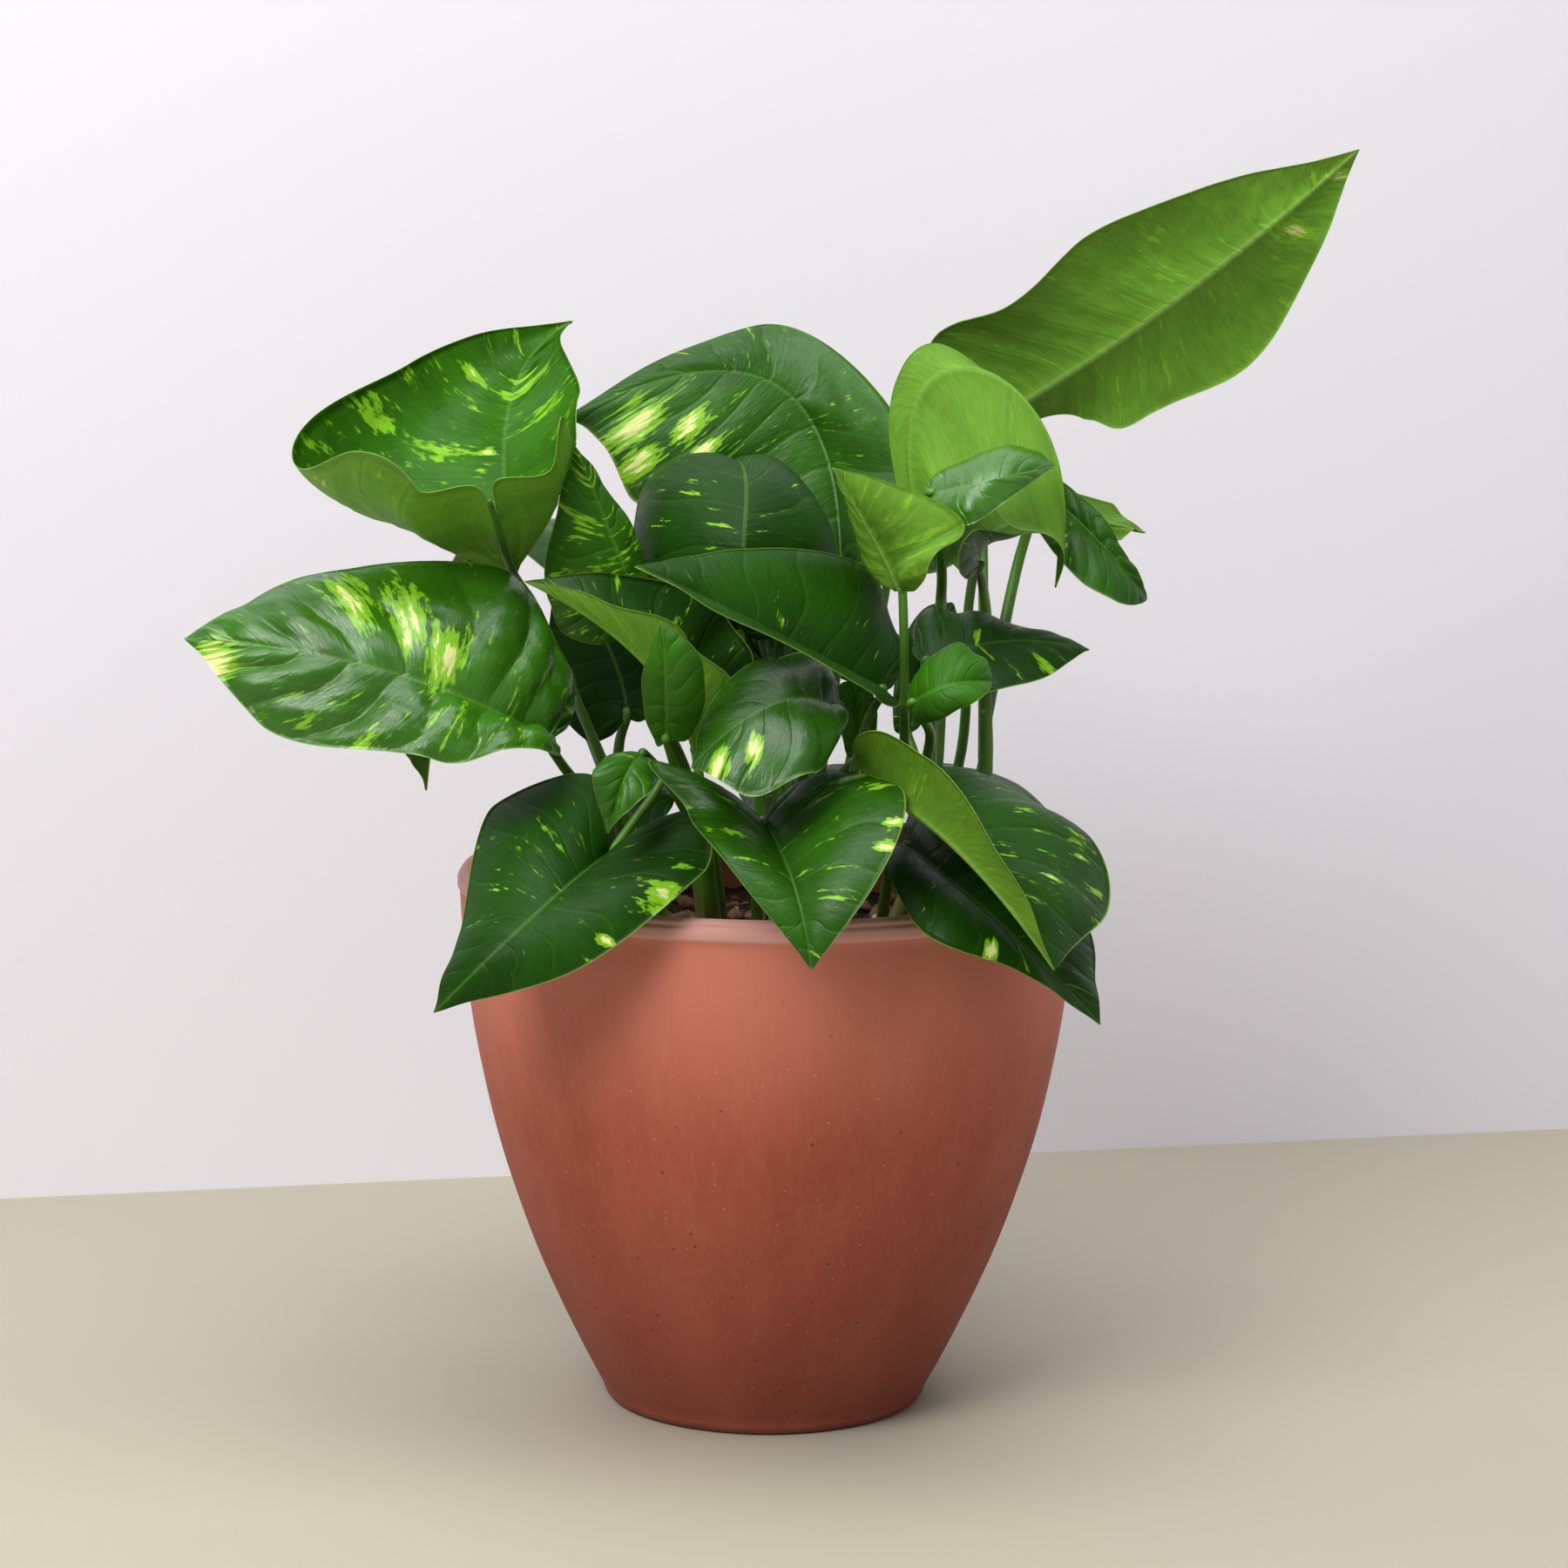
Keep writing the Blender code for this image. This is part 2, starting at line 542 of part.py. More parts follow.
def main():
    for old in list(bpy.data.objects):
        bpy.data.objects.remove(old, do_unlink=True)
    clay = material("pot_clay_composite", (0.40, 0.12, 0.07), 0.7)
    earth = material("potting_soil", (0.05, 0.03, 0.02), 0.95)
    green = material("leaf_green", (0.05, 0.22, 0.04), 0.35)
    stem_green = material("stalk_green", (0.16, 0.33, 0.07), 0.5)

    piece("pot", *turned(pot_profile(), 40), clay)
    piece("soil", *turned(soil_profile(), 40), earth)

    for name, leaf in LEAVES.items():
        points, faces = leaf_sheet(leaf, 10, 2)
        solid, skin = thicken(points, faces, LEAF_THICKNESS)
        piece("leaf_" + name, solid, skin, green)

    for name, points in STALKS.items():
        path = stalk_path(name, points)
        radii = [PETIOLE_RADIUS * 1.25, PETIOLE_RADIUS, PETIOLE_RADIUS * 0.75]
        piece("stalk_" + name, *tube(path, radii, 6, 8), stem_green)

    for name, vine in VINES.items():
        radii = [VINE_RADIUS, VINE_RADIUS * 0.8]
        stem = piece("vine_" + name, *tube(vine["stem"], radii, 8, 5), stem_green)
        for leaf, points in vine["stalks"].items():
            path = stalk_path(leaf, points)
            radii = [PETIOLE_RADIUS, PETIOLE_RADIUS * 0.95, PETIOLE_RADIUS * 0.75]
            branch = piece("helper_" + leaf, *tube(path, radii, 6, 6), stem_green)
            branch.hide_render = True
            branch.display_type = "WIRE"
            join = stem.modifiers.new("join_" + leaf, "BOOLEAN")
            join.operation = "UNION"
            join.solver = "EXACT"
            join.object = branch


main()
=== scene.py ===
import math
import bpy
import numpy as np
from mathutils import Euler, Matrix, Vector


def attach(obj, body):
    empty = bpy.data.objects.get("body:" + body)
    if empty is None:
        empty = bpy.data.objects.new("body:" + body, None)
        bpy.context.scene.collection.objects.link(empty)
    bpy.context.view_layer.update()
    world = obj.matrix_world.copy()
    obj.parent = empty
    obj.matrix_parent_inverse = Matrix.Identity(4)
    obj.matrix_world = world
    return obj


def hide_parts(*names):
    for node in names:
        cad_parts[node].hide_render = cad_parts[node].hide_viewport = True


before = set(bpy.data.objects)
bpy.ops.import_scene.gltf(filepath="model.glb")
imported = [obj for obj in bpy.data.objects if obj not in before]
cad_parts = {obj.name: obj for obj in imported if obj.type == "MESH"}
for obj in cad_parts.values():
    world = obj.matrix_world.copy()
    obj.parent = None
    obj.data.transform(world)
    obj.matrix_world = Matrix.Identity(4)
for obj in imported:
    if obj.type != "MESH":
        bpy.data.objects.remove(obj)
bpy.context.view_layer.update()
mm = 0.001      # shapes are written in millimetres and made in metres


cameraSetup = {
    "place": (3.6, -1083.1, 322.9),   # mm from the foot of the pot
    "tiltDown": 9.0,                  # degrees
    "roll": 0.5,                      # degrees, top of the frame to the right
    "lens": 104.14,
}


def addCamera(setup):
    # looks along +y, tipped down, then rolled about its own axis
    data = bpy.data.cameras.new("cameraFront")
    data.sensor_width = 36.0
    data.lens = setup["lens"]
    data.clip_start = 0.05
    data.clip_end = 20.0
    camera = bpy.data.objects.new("cameraFront", data)
    bpy.context.collection.objects.link(camera)
    aim = Euler((math.radians(90 - setup["tiltDown"]), 0, 0)).to_matrix()
    turn = Matrix.Rotation(math.radians(setup["roll"]), 3, "Z")
    camera.matrix_world = Matrix.Translation([v * mm for v in setup["place"]]) @ (aim @ turn).to_4x4()
    bpy.context.scene.camera = camera
    return camera


addCamera(cameraSetup)
bpy.context.scene.view_settings.view_transform = "Standard"     # colours as they are, without a film curve
print("camera ready")


def colour(hexCode):
    # sRGB hex to linear: (c + 0.055) / 1.055 to the power 2.4, straight line below 0.04045
    parts = [int(hexCode.lstrip("#")[i:i + 2], 16) / 255 for i in (0, 2, 4)]
    linear = [p / 12.92 if p <= 0.04045 else ((p + 0.055) / 1.055) ** 2.4 for p in parts]
    return (*linear, 1.0)


def addNode(tree, kind, feeds=None, **settings):
    # one node: settings set its properties, or its sockets when the name is a socket;
    # feeds = {socket: output socket to link, or the plain value it holds}
    node = tree.nodes.new(kind)
    for name, value in settings.items():
        if hasattr(node, name):
            setattr(node, name, value)
        else:
            node.inputs[name.replace("_", " ")].default_value = value
    for socket, value in (feeds or {}).items():
        if isinstance(value, bpy.types.NodeSocket):
            tree.links.new(value, node.inputs[socket])
        else:
            node.inputs[socket].default_value = value
    return node


def layCoats(tree, tone, coats):
    # colour coats laid one over another: share = least + (most - least) * smoothstep(start, end,
    # source), and tone = tone * (1 - share) + tint * share
    for source, start, end, least, most, tint in coats:
        limits = {"Value": source, "From Min": start, "From Max": end, "To Min": least, "To Max": most}
        share = addNode(tree, "ShaderNodeMapRange", limits, interpolation_type="SMOOTHSTEP")
        layers = {"Factor": share.outputs[0], "A": tone, "B": tint}
        tone = addNode(tree, "ShaderNodeMix", layers, data_type="RGBA").outputs["Result"]
    return tone


def newMaterial(name):
    # a material with one principled shader joined to its output
    material = bpy.data.materials.new(name)
    material.use_nodes = True
    tree = material.node_tree
    tree.nodes.clear()
    out = tree.nodes.new("ShaderNodeOutputMaterial")
    shader = tree.nodes.new("ShaderNodeBsdfPrincipled")
    tree.links.new(shader.outputs["BSDF"], out.inputs["Surface"])
    return material, tree, shader


def addMesh(name, points, faces, material):
    # points in mm; faces as lists of corner numbers
    mesh = bpy.data.meshes.new(name)
    mesh.from_pydata((np.asarray(points, float) * mm).tolist(), [], faces)
    mesh.update()
    mesh.materials.append(material)
    mesh.shade_smooth()
    made = bpy.data.objects.new(name, mesh)
    bpy.context.collection.objects.link(made)
    return made


def addAttribute(piece, name, values):
    # one vector for each vertex
    layer = piece.data.attributes.new(name, "FLOAT_VECTOR", "POINT")
    layer.data.foreach_set("vector", np.asarray(values, np.float32).reshape(-1))


room = {
    "wall": "#E9E7F0",
    "floor": "#B2AC9B",
    "wallDistance": 232.0,   # mm behind the pot's axis, at the middle
    "wallTurn": 12.6,         # degrees: the wall's foot climbs toward the right
    "halfWidth": 2500,        # mm from the middle to each side of the floor
    "wallHeight": 3000,
    "skyStrength": 0.27,
    "keyPower": 12.2,
    "fillPower": 0.6,
    "topPower": 10.8,
}


def roomMaterial(name, hexCode, roughness, mottle):
    # painted board: one matte colour with a faint, broad unevenness
    material, tree, shader = newMaterial(name)
    place = addNode(tree, "ShaderNodeTexCoord")
    noise = addNode(tree, "ShaderNodeTexNoise", {"Vector": place.outputs["Object"]}, Scale=3.0, Detail=3.0)
    base = colour(hexCode)
    dark = (*[c * (1 - mottle) for c in base[:3]], 1.0)
    layers = {"Factor": noise.outputs["Fac"], "A": base, "B": dark}
    mix = addNode(tree, "ShaderNodeMix", layers, data_type="RGBA")
    tree.links.new(mix.outputs["Result"], shader.inputs["Base Color"])
    shader.inputs["Roughness"].default_value = roughness
    # seen from its back the board is clear, so that it never hides the plant from behind
    face = addNode(tree, "ShaderNodeNewGeometry")
    clear = addNode(tree, "ShaderNodeBsdfTransparent")
    sides = {0: face.outputs["Backfacing"], 1: shader.outputs["BSDF"], 2: clear.outputs["BSDF"]}
    board = addNode(tree, "ShaderNodeMixShader", sides)
    tree.links.new(board.outputs["Shader"], tree.nodes["Material Output"].inputs["Surface"])
    return material


def addSheet(name, corners, material):
    # a flat sheet from four corners in mm
    mesh = bpy.data.meshes.new(name)
    mesh.from_pydata([[v * mm for v in corner] for corner in corners], [], [(0, 1, 2, 3)])
    mesh.materials.append(material)
    sheet = bpy.data.objects.new(name, mesh)
    bpy.context.collection.objects.link(sheet)
    return sheet


def addLamp(name, place, aim, size, power, tint):
    # a rectangular lamp, size in metres, at place and facing aim, both in mm
    data = bpy.data.lights.new(name, "AREA")
    data.shape = "RECTANGLE"
    data.size, data.size_y = size
    data.energy = power
    data.color = tint
    lamp = bpy.data.objects.new(name, data)
    bpy.context.collection.objects.link(lamp)
    seat = Vector(place) * mm
    away = seat - Vector(aim) * mm
    lamp.matrix_world = Matrix.Translation(seat) @ away.to_track_quat("Z", "Y").to_matrix().to_4x4()
    return lamp


def addRoom(setup):
    # a square of floor, and a wall across its back whose foot is turned by wallTurn
    turn = math.tan(math.radians(setup["wallTurn"]))
    far = setup["wallDistance"]
    side, tall = setup["halfWidth"], setup["wallHeight"]
    left, right = far - side * turn, far + side * turn
    addSheet("floorSheet", [(-side, -side, 0), (side, -side, 0), (side, right, 0), (-side, left, 0)],
             roomMaterial("paintedBoardBeige", setup["floor"], 0.75, 0.02))
    addSheet("wallSheet", [(-side, left, 0), (side, right, 0), (side, right, tall), (-side, left, tall)],
             roomMaterial("paintedBoardWhite", setup["wall"], 0.9, 0.01))
    world = bpy.data.worlds.new("studioAir")
    bpy.context.scene.world = world
    world.use_nodes = True
    air = world.node_tree.nodes["Background"]
    air.inputs["Color"].default_value = (1.0, 0.98, 1.0, 1)
    air.inputs["Strength"].default_value = setup["skyStrength"]
    addLamp("keyWindow", (-520, -900, 1000), (0, 0, 180), (0.6, 0.6), setup["keyPower"], (1.0, 0.99, 0.97))
    addLamp("topSheet", (40, -260, 1250), (0, 0, 150), (1.0, 0.7), setup["topPower"], (1.0, 1.0, 1.0))
    addLamp("sideFill", (900, -700, 450), (0, 0, 150), (0.8, 0.8), setup["fillPower"], (0.98, 0.99, 1.0))


addRoom(room)
print("room and lights ready")


potShape = {
    "height": 130.0, "foot": 38.0, "gain": 36.5, "rounding": 3.0, "wall": 3.6, "floor": 6.0,
    "lip": 75.0, "lipHeight": 3.4, "groove": 0.45, "sides": 160,
}
potLook = {
    "clay": "#B05A44", "clayDeep": "#9F4C38", "clayDust": "#C27862", "clayShade": "#864535",
    "lip": "#CFA09A", "footPaintedShade": "#5E2A1C", "topPaintedLight": "#D07E6A",
    "fleckPale": "#D79A80", "fleckDark": "#4A2119",
    "streakWidth": 0.5,     # mm, brushed lines down the wall
    "fleckSize": 1.3,       # mm between pale and dark flecks
}


def potRadius(z):
    # opens fast near the foot and stands almost upright at the lip
    t = np.asarray(z, float) / potShape["height"]
    return potShape["foot"] + potShape["gain"] * (0.95 * (1 - (1 - t) ** 2.05) + 0.05 * t)


def potSection():
    # half section from under the foot, up the wall, over the grooved lip and down inside
    s = potShape
    top = s["height"]
    rim = s["lip"]
    corner = np.radians(np.linspace(6, 84, 9))
    start = potRadius(s["rounding"])
    bend = s["rounding"]
    foot = np.column_stack([start - bend * (1 - np.sin(corner)), bend * (1 - np.cos(corner))])
    under = [(0.0, 0.0), (12.0, 0.0), (24.0, 0.0), (s["foot"] - s["rounding"] + 2.0, 0.0)]
    z = np.linspace(s["rounding"], top - s["lipHeight"] - 0.3, 60)
    wall = np.column_stack([potRadius(z), z])
    band = [(rim - 0.25, top - s["lipHeight"]), (rim, top - s["lipHeight"] + 0.5), (rim, top - 1.2),
            (rim - 0.15, top - 0.7), (rim - s["groove"] - 0.3, top - 0.35),
            (rim - s["groove"] - 0.5, top + 0.05),
            (rim - 0.7, top + 0.35), (rim - 1.1, top + 0.9), (rim - 1.9, top + 1.35), (rim - 2.8, top + 1.5),
            (rim - 3.7, top + 1.3), (rim - 4.3, top + 0.7), (rim - 4.5, top - 0.2)]
    z = np.linspace(top - 2.0, s["floor"] + 2.5, 30)
    inside = np.column_stack([potRadius(z) - s["wall"], z])
    well = potRadius(s["floor"]) - s["wall"]
    floor = [(well - 2.0, s["floor"] + 0.6), (well - 4.0, s["floor"]), (12.0, s["floor"]), (0.0, s["floor"])]
    return np.vstack([under, foot, wall, band, inside, floor])


def latheGrid(section, sides, wobble=None):
    # the half section carried round z: x = r cos a, y = r sin a; the two poles are single points
    angle = np.linspace(0, 2 * np.pi, sides, endpoint=False)
    inner = section[1:-1]
    r = np.repeat(inner[:, :1], sides, 1)
    z = np.repeat(inner[:, 1:], sides, 1)
    a = np.repeat(angle[None], len(inner), 0)
    if wobble is not None:
        r, z = wobble(r, z, a)
    points = np.stack([r * np.cos(a), r * np.sin(a), z], -1).reshape(-1, 3)
    points = np.vstack([[0, 0, section[0, 1]], points, [0, 0, section[-1, 1]]])
    i, j = np.meshgrid(np.arange(len(inner) - 1), np.arange(sides), indexing="ij")
    k = (j + 1) % sides
    low = 1 + i * sides
    quads = np.stack([low + j, low + k, low + sides + k, low + sides + j], -1).reshape(-1, 4)
    ring = np.arange(sides)
    after = (ring + 1) % sides
    bottom = np.stack([0 * ring, 1 + after, 1 + ring], -1)
    lastRing = 1 + (len(inner) - 1) * sides
    top = np.stack([lastRing + ring, lastRing + after, 0 * ring + len(points) - 1], -1)
    return points, quads.tolist() + bottom.tolist() + top.tolist()


def potWobble(r, z, a):
    # hand-made unevenness: under a fifth of a millimetre, slow round the pot and up it
    swell = 0.10 * np.sin(3 * a + z * 0.035) + 0.07 * np.sin(7 * a - z * 0.06)
    swell = swell + 0.04 * np.sin(0.21 * z + 2 * a)
    return r + swell * (r > 20), z


def potClay(look):
    # clay-coloured fibre composite, moulded then wire brushed: matte, with fine upright
    # streaks, pale and dark flecks, tiny pits and a paler, pinker lip
    material, tree, shader = newMaterial("brushedClayComposite")
    place = addNode(tree, "ShaderNodeTexCoord").outputs["Object"]
    streakScale = 1 / (look["streakWidth"] * mm) * 0.45
    fleckScale = 1 / (look["fleckSize"] * mm) * 0.35
    tall = addNode(tree, "ShaderNodeMapping", {"Vector": place}, Scale=(1.0, 1.0, 0.05)).outputs[0]
    wide = addNode(tree, "ShaderNodeMapping", {"Vector": place}, Scale=(1.0, 1.0, 0.30)).outputs[0]
    grains = {
        "streak": (tall, streakScale, 4.0, 0.65),
        "cloud": (wide, 38.0, 5.0, 0.6),
        "grit": (place, 1900.0, 2.0, 0.6),
    }
    grain = {}
    for kind, (vector, scale, detail, rough) in grains.items():
        settings = {"Scale": scale, "Detail": detail, "Roughness": rough}
        made = addNode(tree, "ShaderNodeTexNoise", {"Vector": vector}, **settings)
        grain[kind] = made.outputs["Fac"]
    pits = [addNode(tree, "ShaderNodeTexVoronoi", {"Vector": place}, Scale=scale, Randomness=1.0)
            for scale in (fleckScale, fleckScale * 0.61)]
    palePits, darkPits = [pit.outputs["Distance"] for pit in pits]
    height = addNode(tree, "ShaderNodeSeparateXYZ", {"Vector": place}).outputs["Z"]
    edge = (potShape["height"] - potShape["lipHeight"]) * mm

    # clay clouded with deeper clay, brushed pale and dark, flecked pale and dark, then paler toward
    # the mouth as painted light, darker toward the foot as painted shade, and pinker on the lip
    tone = layCoats(tree, colour(look["clay"]), [
        (grain["cloud"], 0.30, 0.70, 0.0, 1.0, colour(look["clayDeep"])),
        (grain["streak"], 0.50, 0.80, 0.0, 0.35, colour(look["clayDust"])),
        (grain["streak"], 0.46, 0.24, 0.0, 0.35, colour(look["clayShade"])),
        (palePits, 0.10, 0.04, 0.0, 0.55, colour(look["fleckPale"])),
        (darkPits, 0.09, 0.04, 0.0, 0.6, colour(look["fleckDark"])),
        # painted light: the clay grows paler up toward the mouth, where the light from above falls
        (height, 0.070, 0.122, 0.0, 0.75, colour(look["topPaintedLight"])),
        # painted shade: the clay grows darker from below the mouth down to the foot
        (height, 0.105, -0.02, 0.0, 0.62, colour(look["footPaintedShade"])),
        (height, edge - 0.0006, edge + 0.0004, 0.0, 0.75, colour(look["lip"])),
    ])
    tree.links.new(tone, shader.inputs["Base Color"])
    limits = {"Value": grain["cloud"], "From Min": 0.2, "From Max": 0.8, "To Min": 0.62, "To Max": 0.78}
    rough = addNode(tree, "ShaderNodeMapRange", limits, interpolation_type="SMOOTHSTEP")
    tree.links.new(rough.outputs[0], shader.inputs["Roughness"])
    shader.inputs["Specular IOR Level"].default_value = 0.35
    mixed = addNode(tree, "ShaderNodeMath", {0: grain["streak"], 1: grain["grit"]}, operation="ADD")
    bump = addNode(tree, "ShaderNodeBump", {"Height": mixed.outputs[0]}, Strength=0.35, Distance=0.00012)
    limits = {"Value": darkPits, "From Min": 0.03, "From Max": 0.10}
    hollow = addNode(tree, "ShaderNodeMapRange", limits, interpolation_type="SMOOTHSTEP")
    relief = {"Height": hollow.outputs[0], "Normal": bump.outputs[0]}
    pit = addNode(tree, "ShaderNodeBump", relief, Strength=0.6, Distance=0.0002)
    tree.links.new(pit.outputs[0], shader.inputs["Normal"])
    return material


potPoints, potFaces = latheGrid(potSection(), potShape["sides"], potWobble)


pot = addMesh("potShell", potPoints, potFaces, potClay(potLook))
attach(pot, "root")
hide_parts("pot")
print("pot ready")


soilShape = {"top": 114.0, "clearance": 0.4, "lumps": 1.5, "chips": 240, "perlite": 70, "bitReach": 66.0}
soilLook = {
    "peat": "#2A1C14", "peatDry": "#4A3526", "bark": "#6B4730", "barkPale": "#A07A57",
    "perlite": "#E4DFD2", "perliteDim": "#C9C2B2", "bitGrain": 420.0,
}


def smoothNoise(x, y, seed, scale):
    # a sum of eight turned sine waves, about -1 to 1
    rng = np.random.default_rng(seed)
    total = 0
    for k in range(8):
        a = rng.uniform(0, 2 * np.pi)
        f = rng.uniform(0.6, 1.7) / scale
        total = total + np.sin((x * math.cos(a) + y * math.sin(a)) * f * 2 * np.pi + rng.uniform(0, 6.28))
    return total / 4


def soilWobble(r, z, a):
    # crumbs: fine bumps on the top only, fading to the wall
    x, y = r * np.cos(a), r * np.sin(a)
    crumbs = 0.5 * smoothNoise(x, y, 1, 16) + 0.35 * smoothNoise(x, y, 2, 6)
    crumbs = crumbs + 0.25 * smoothNoise(x, y, 3, 2.6)
    lift = soilShape["lumps"] * crumbs
    onTop = (z > soilShape["top"] - 0.6)
    return r, z + np.where(onTop, np.clip(lift - 0.2, -1.6, 1.8), 0)


def soilSection():
    # half section: across the floor, up inside the wall, then in over the level top
    s = soilShape
    low = potShape["floor"] + s["clearance"]
    z = np.linspace(low + 2.5, s["top"] - 2.0, 14)
    wall = np.column_stack([potRadius(z) - potShape["wall"] - s["clearance"], z])
    edge = potRadius(s["top"]) - potShape["wall"] - s["clearance"]
    r = np.linspace(edge - 2.0, 0.6, 60)
    top = np.column_stack([r, 0 * r + s["top"]])
    return np.vstack([[(0.0, low), (potRadius(low) - potShape["wall"] - 4.5, low)], wall,
                      [(edge - 0.3, s["top"] - 0.9)], top, [(0.0, s["top"])]])


def soilEarth(look):
    # peat with fine crumbs: very dark, matte, drier and browner where lumps stand up
    material, tree, shader = newMaterial("peatPottingMix")
    place = addNode(tree, "ShaderNodeTexCoord").outputs["Object"]
    crumb = addNode(tree, "ShaderNodeTexVoronoi", {"Vector": place}, Scale=520.0)
    noise = addNode(tree, "ShaderNodeTexNoise", {"Vector": place}, Scale=260.0, Detail=5.0, Roughness=0.7)
    ramp = addNode(tree, "ShaderNodeValToRGB", {"Fac": noise.outputs["Fac"]})
    ramp.color_ramp.elements[0].position = 0.35
    ramp.color_ramp.elements[0].color = colour(look["peat"])
    ramp.color_ramp.elements[1].position = 0.75
    ramp.color_ramp.elements[1].color = colour(look["peatDry"])
    tree.links.new(ramp.outputs[0], shader.inputs["Base Color"])
    shader.inputs["Roughness"].default_value = 0.95
    lumps = {"Height": crumb.outputs["Distance"]}
    bump = addNode(tree, "ShaderNodeBump", lumps, Strength=0.9, Distance=0.0008)
    relief = {"Height": noise.outputs["Fac"], "Normal": bump.outputs[0]}
    rough = addNode(tree, "ShaderNodeBump", relief, Strength=0.7, Distance=0.0006)
    tree.links.new(rough.outputs[0], shader.inputs["Normal"])
    return material


def chipMaterial(name, dark, pale, scale):
    # broken bits: colour varies along the grain of each bit
    material, tree, shader = newMaterial(name)
    place = addNode(tree, "ShaderNodeTexCoord").outputs["Object"]
    noise = addNode(tree, "ShaderNodeTexNoise", {"Vector": place}, Scale=scale, Detail=4.0, Roughness=0.7)
    ramp = addNode(tree, "ShaderNodeValToRGB", {"Fac": noise.outputs["Fac"]})
    ramp.color_ramp.elements[0].position = 0.35
    ramp.color_ramp.elements[0].color = colour(dark)
    ramp.color_ramp.elements[1].position = 0.65
    ramp.color_ramp.elements[1].color = colour(pale)
    tree.links.new(ramp.outputs[0], shader.inputs["Base Color"])
    shader.inputs["Roughness"].default_value = 0.9
    bump = addNode(tree, "ShaderNodeBump", {"Height": noise.outputs["Fac"]}, Strength=0.5, Distance=0.0003)
    tree.links.new(bump.outputs[0], shader.inputs["Normal"])
    return material


def scatterBits(count, seed, size, flat):
    # copies of a lumpy low ball, each stretched, turned and laid on the soil, all arrays at once
    rng = np.random.default_rng(seed)
    u, v = np.meshgrid(np.linspace(0, 2 * np.pi, 7)[:-1], np.radians([-45, 0, 45]))
    ball = np.stack([np.cos(u) * np.cos(v), np.sin(u) * np.cos(v), np.sin(v)], -1).reshape(-1, 3)
    ball = np.vstack([ball, [0, 0, -1], [0, 0, 1]])
    faces = []
    for row in (0, 6):
        for k in range(6):
            faces.append((row + k, row + (k + 1) % 6, row + 6 + (k + 1) % 6, row + 6 + k))
    caps = [(18, (k + 1) % 6, k) for k in range(6)] + [(19, 12 + k, 12 + (k + 1) % 6) for k in range(6)]
    r = soilShape["bitReach"] * np.sqrt(rng.uniform(0.01, 1.0, count))
    a = rng.uniform(0, 2 * np.pi, count)
    scale = rng.uniform(size[0], size[1], (count, 1)) * np.column_stack(
        [np.ones(count), rng.uniform(0.45, 0.9, count), rng.uniform(flat[0], flat[1], count)])
    lumpy = ball[None] * rng.uniform(0.75, 1.2, (count, 20, 1)) * scale[:, None]
    turn = rng.uniform(0, 2 * np.pi, count)
    tip = rng.uniform(-0.5, 0.5, count)
    x = lumpy[..., 0] * np.cos(tip)[:, None] - lumpy[..., 2] * np.sin(tip)[:, None]
    z = lumpy[..., 0] * np.sin(tip)[:, None] + lumpy[..., 2] * np.cos(tip)[:, None]
    y = lumpy[..., 1]
    px = x * np.cos(turn)[:, None] - y * np.sin(turn)[:, None] + (r * np.cos(a))[:, None]
    py = x * np.sin(turn)[:, None] + y * np.cos(turn)[:, None] + (r * np.sin(a))[:, None]
    pz = z + soilShape["top"] + 0.7 + scale[:, 2:3] * 0.4
    points = np.stack([px, py, pz], -1).reshape(-1, 3)
    every = []
    for face in faces + caps:
        every.append([tuple(f) for f in (np.array(face)[None] + 20 * np.arange(count)[:, None]).tolist()])
    return points, [f for group in every for f in group]


soil = addMesh("soilBed", *latheGrid(soilSection(), 150, soilWobble), soilEarth(soilLook))
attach(soil, "root")
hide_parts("soil")
bits = {
    "barkChips": (soilShape["chips"], 11, (1.2, 3.6), (0.3, 0.6), "pineBarkChips", "bark", "barkPale"),
    "perliteBits": (soilShape["perlite"], 12, (0.7, 1.7), (0.7, 1.0),
        "perliteGrains", "perliteDim", "perlite"),
}
for name, (count, seed, size, flat, kind, dark, pale) in bits.items():
    finish = chipMaterial(kind, soilLook[dark], soilLook[pale], soilLook["bitGrain"])
    bit = addMesh(name, *scatterBits(count, seed, size, flat), finish)
    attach(bit, "root")
    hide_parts("soil")
print("soil ready")


# Half a leaf from the notch round to the tip: share of the midrib, share of the half's reach.
heartOutline = [(0, 0), (-0.06, 0.12), (-0.11, 0.30), (-0.12, 0.57), (0.02, 0.86), (0.20, 1.0),
                (0.42, 0.95), (0.63, 0.70), (0.80, 0.40), (0.92, 0.155), (1, 0)]
heartStations = {"notch": 0.2, "lobe": 0.3, "wide": 0.5, "fore": 0.7}

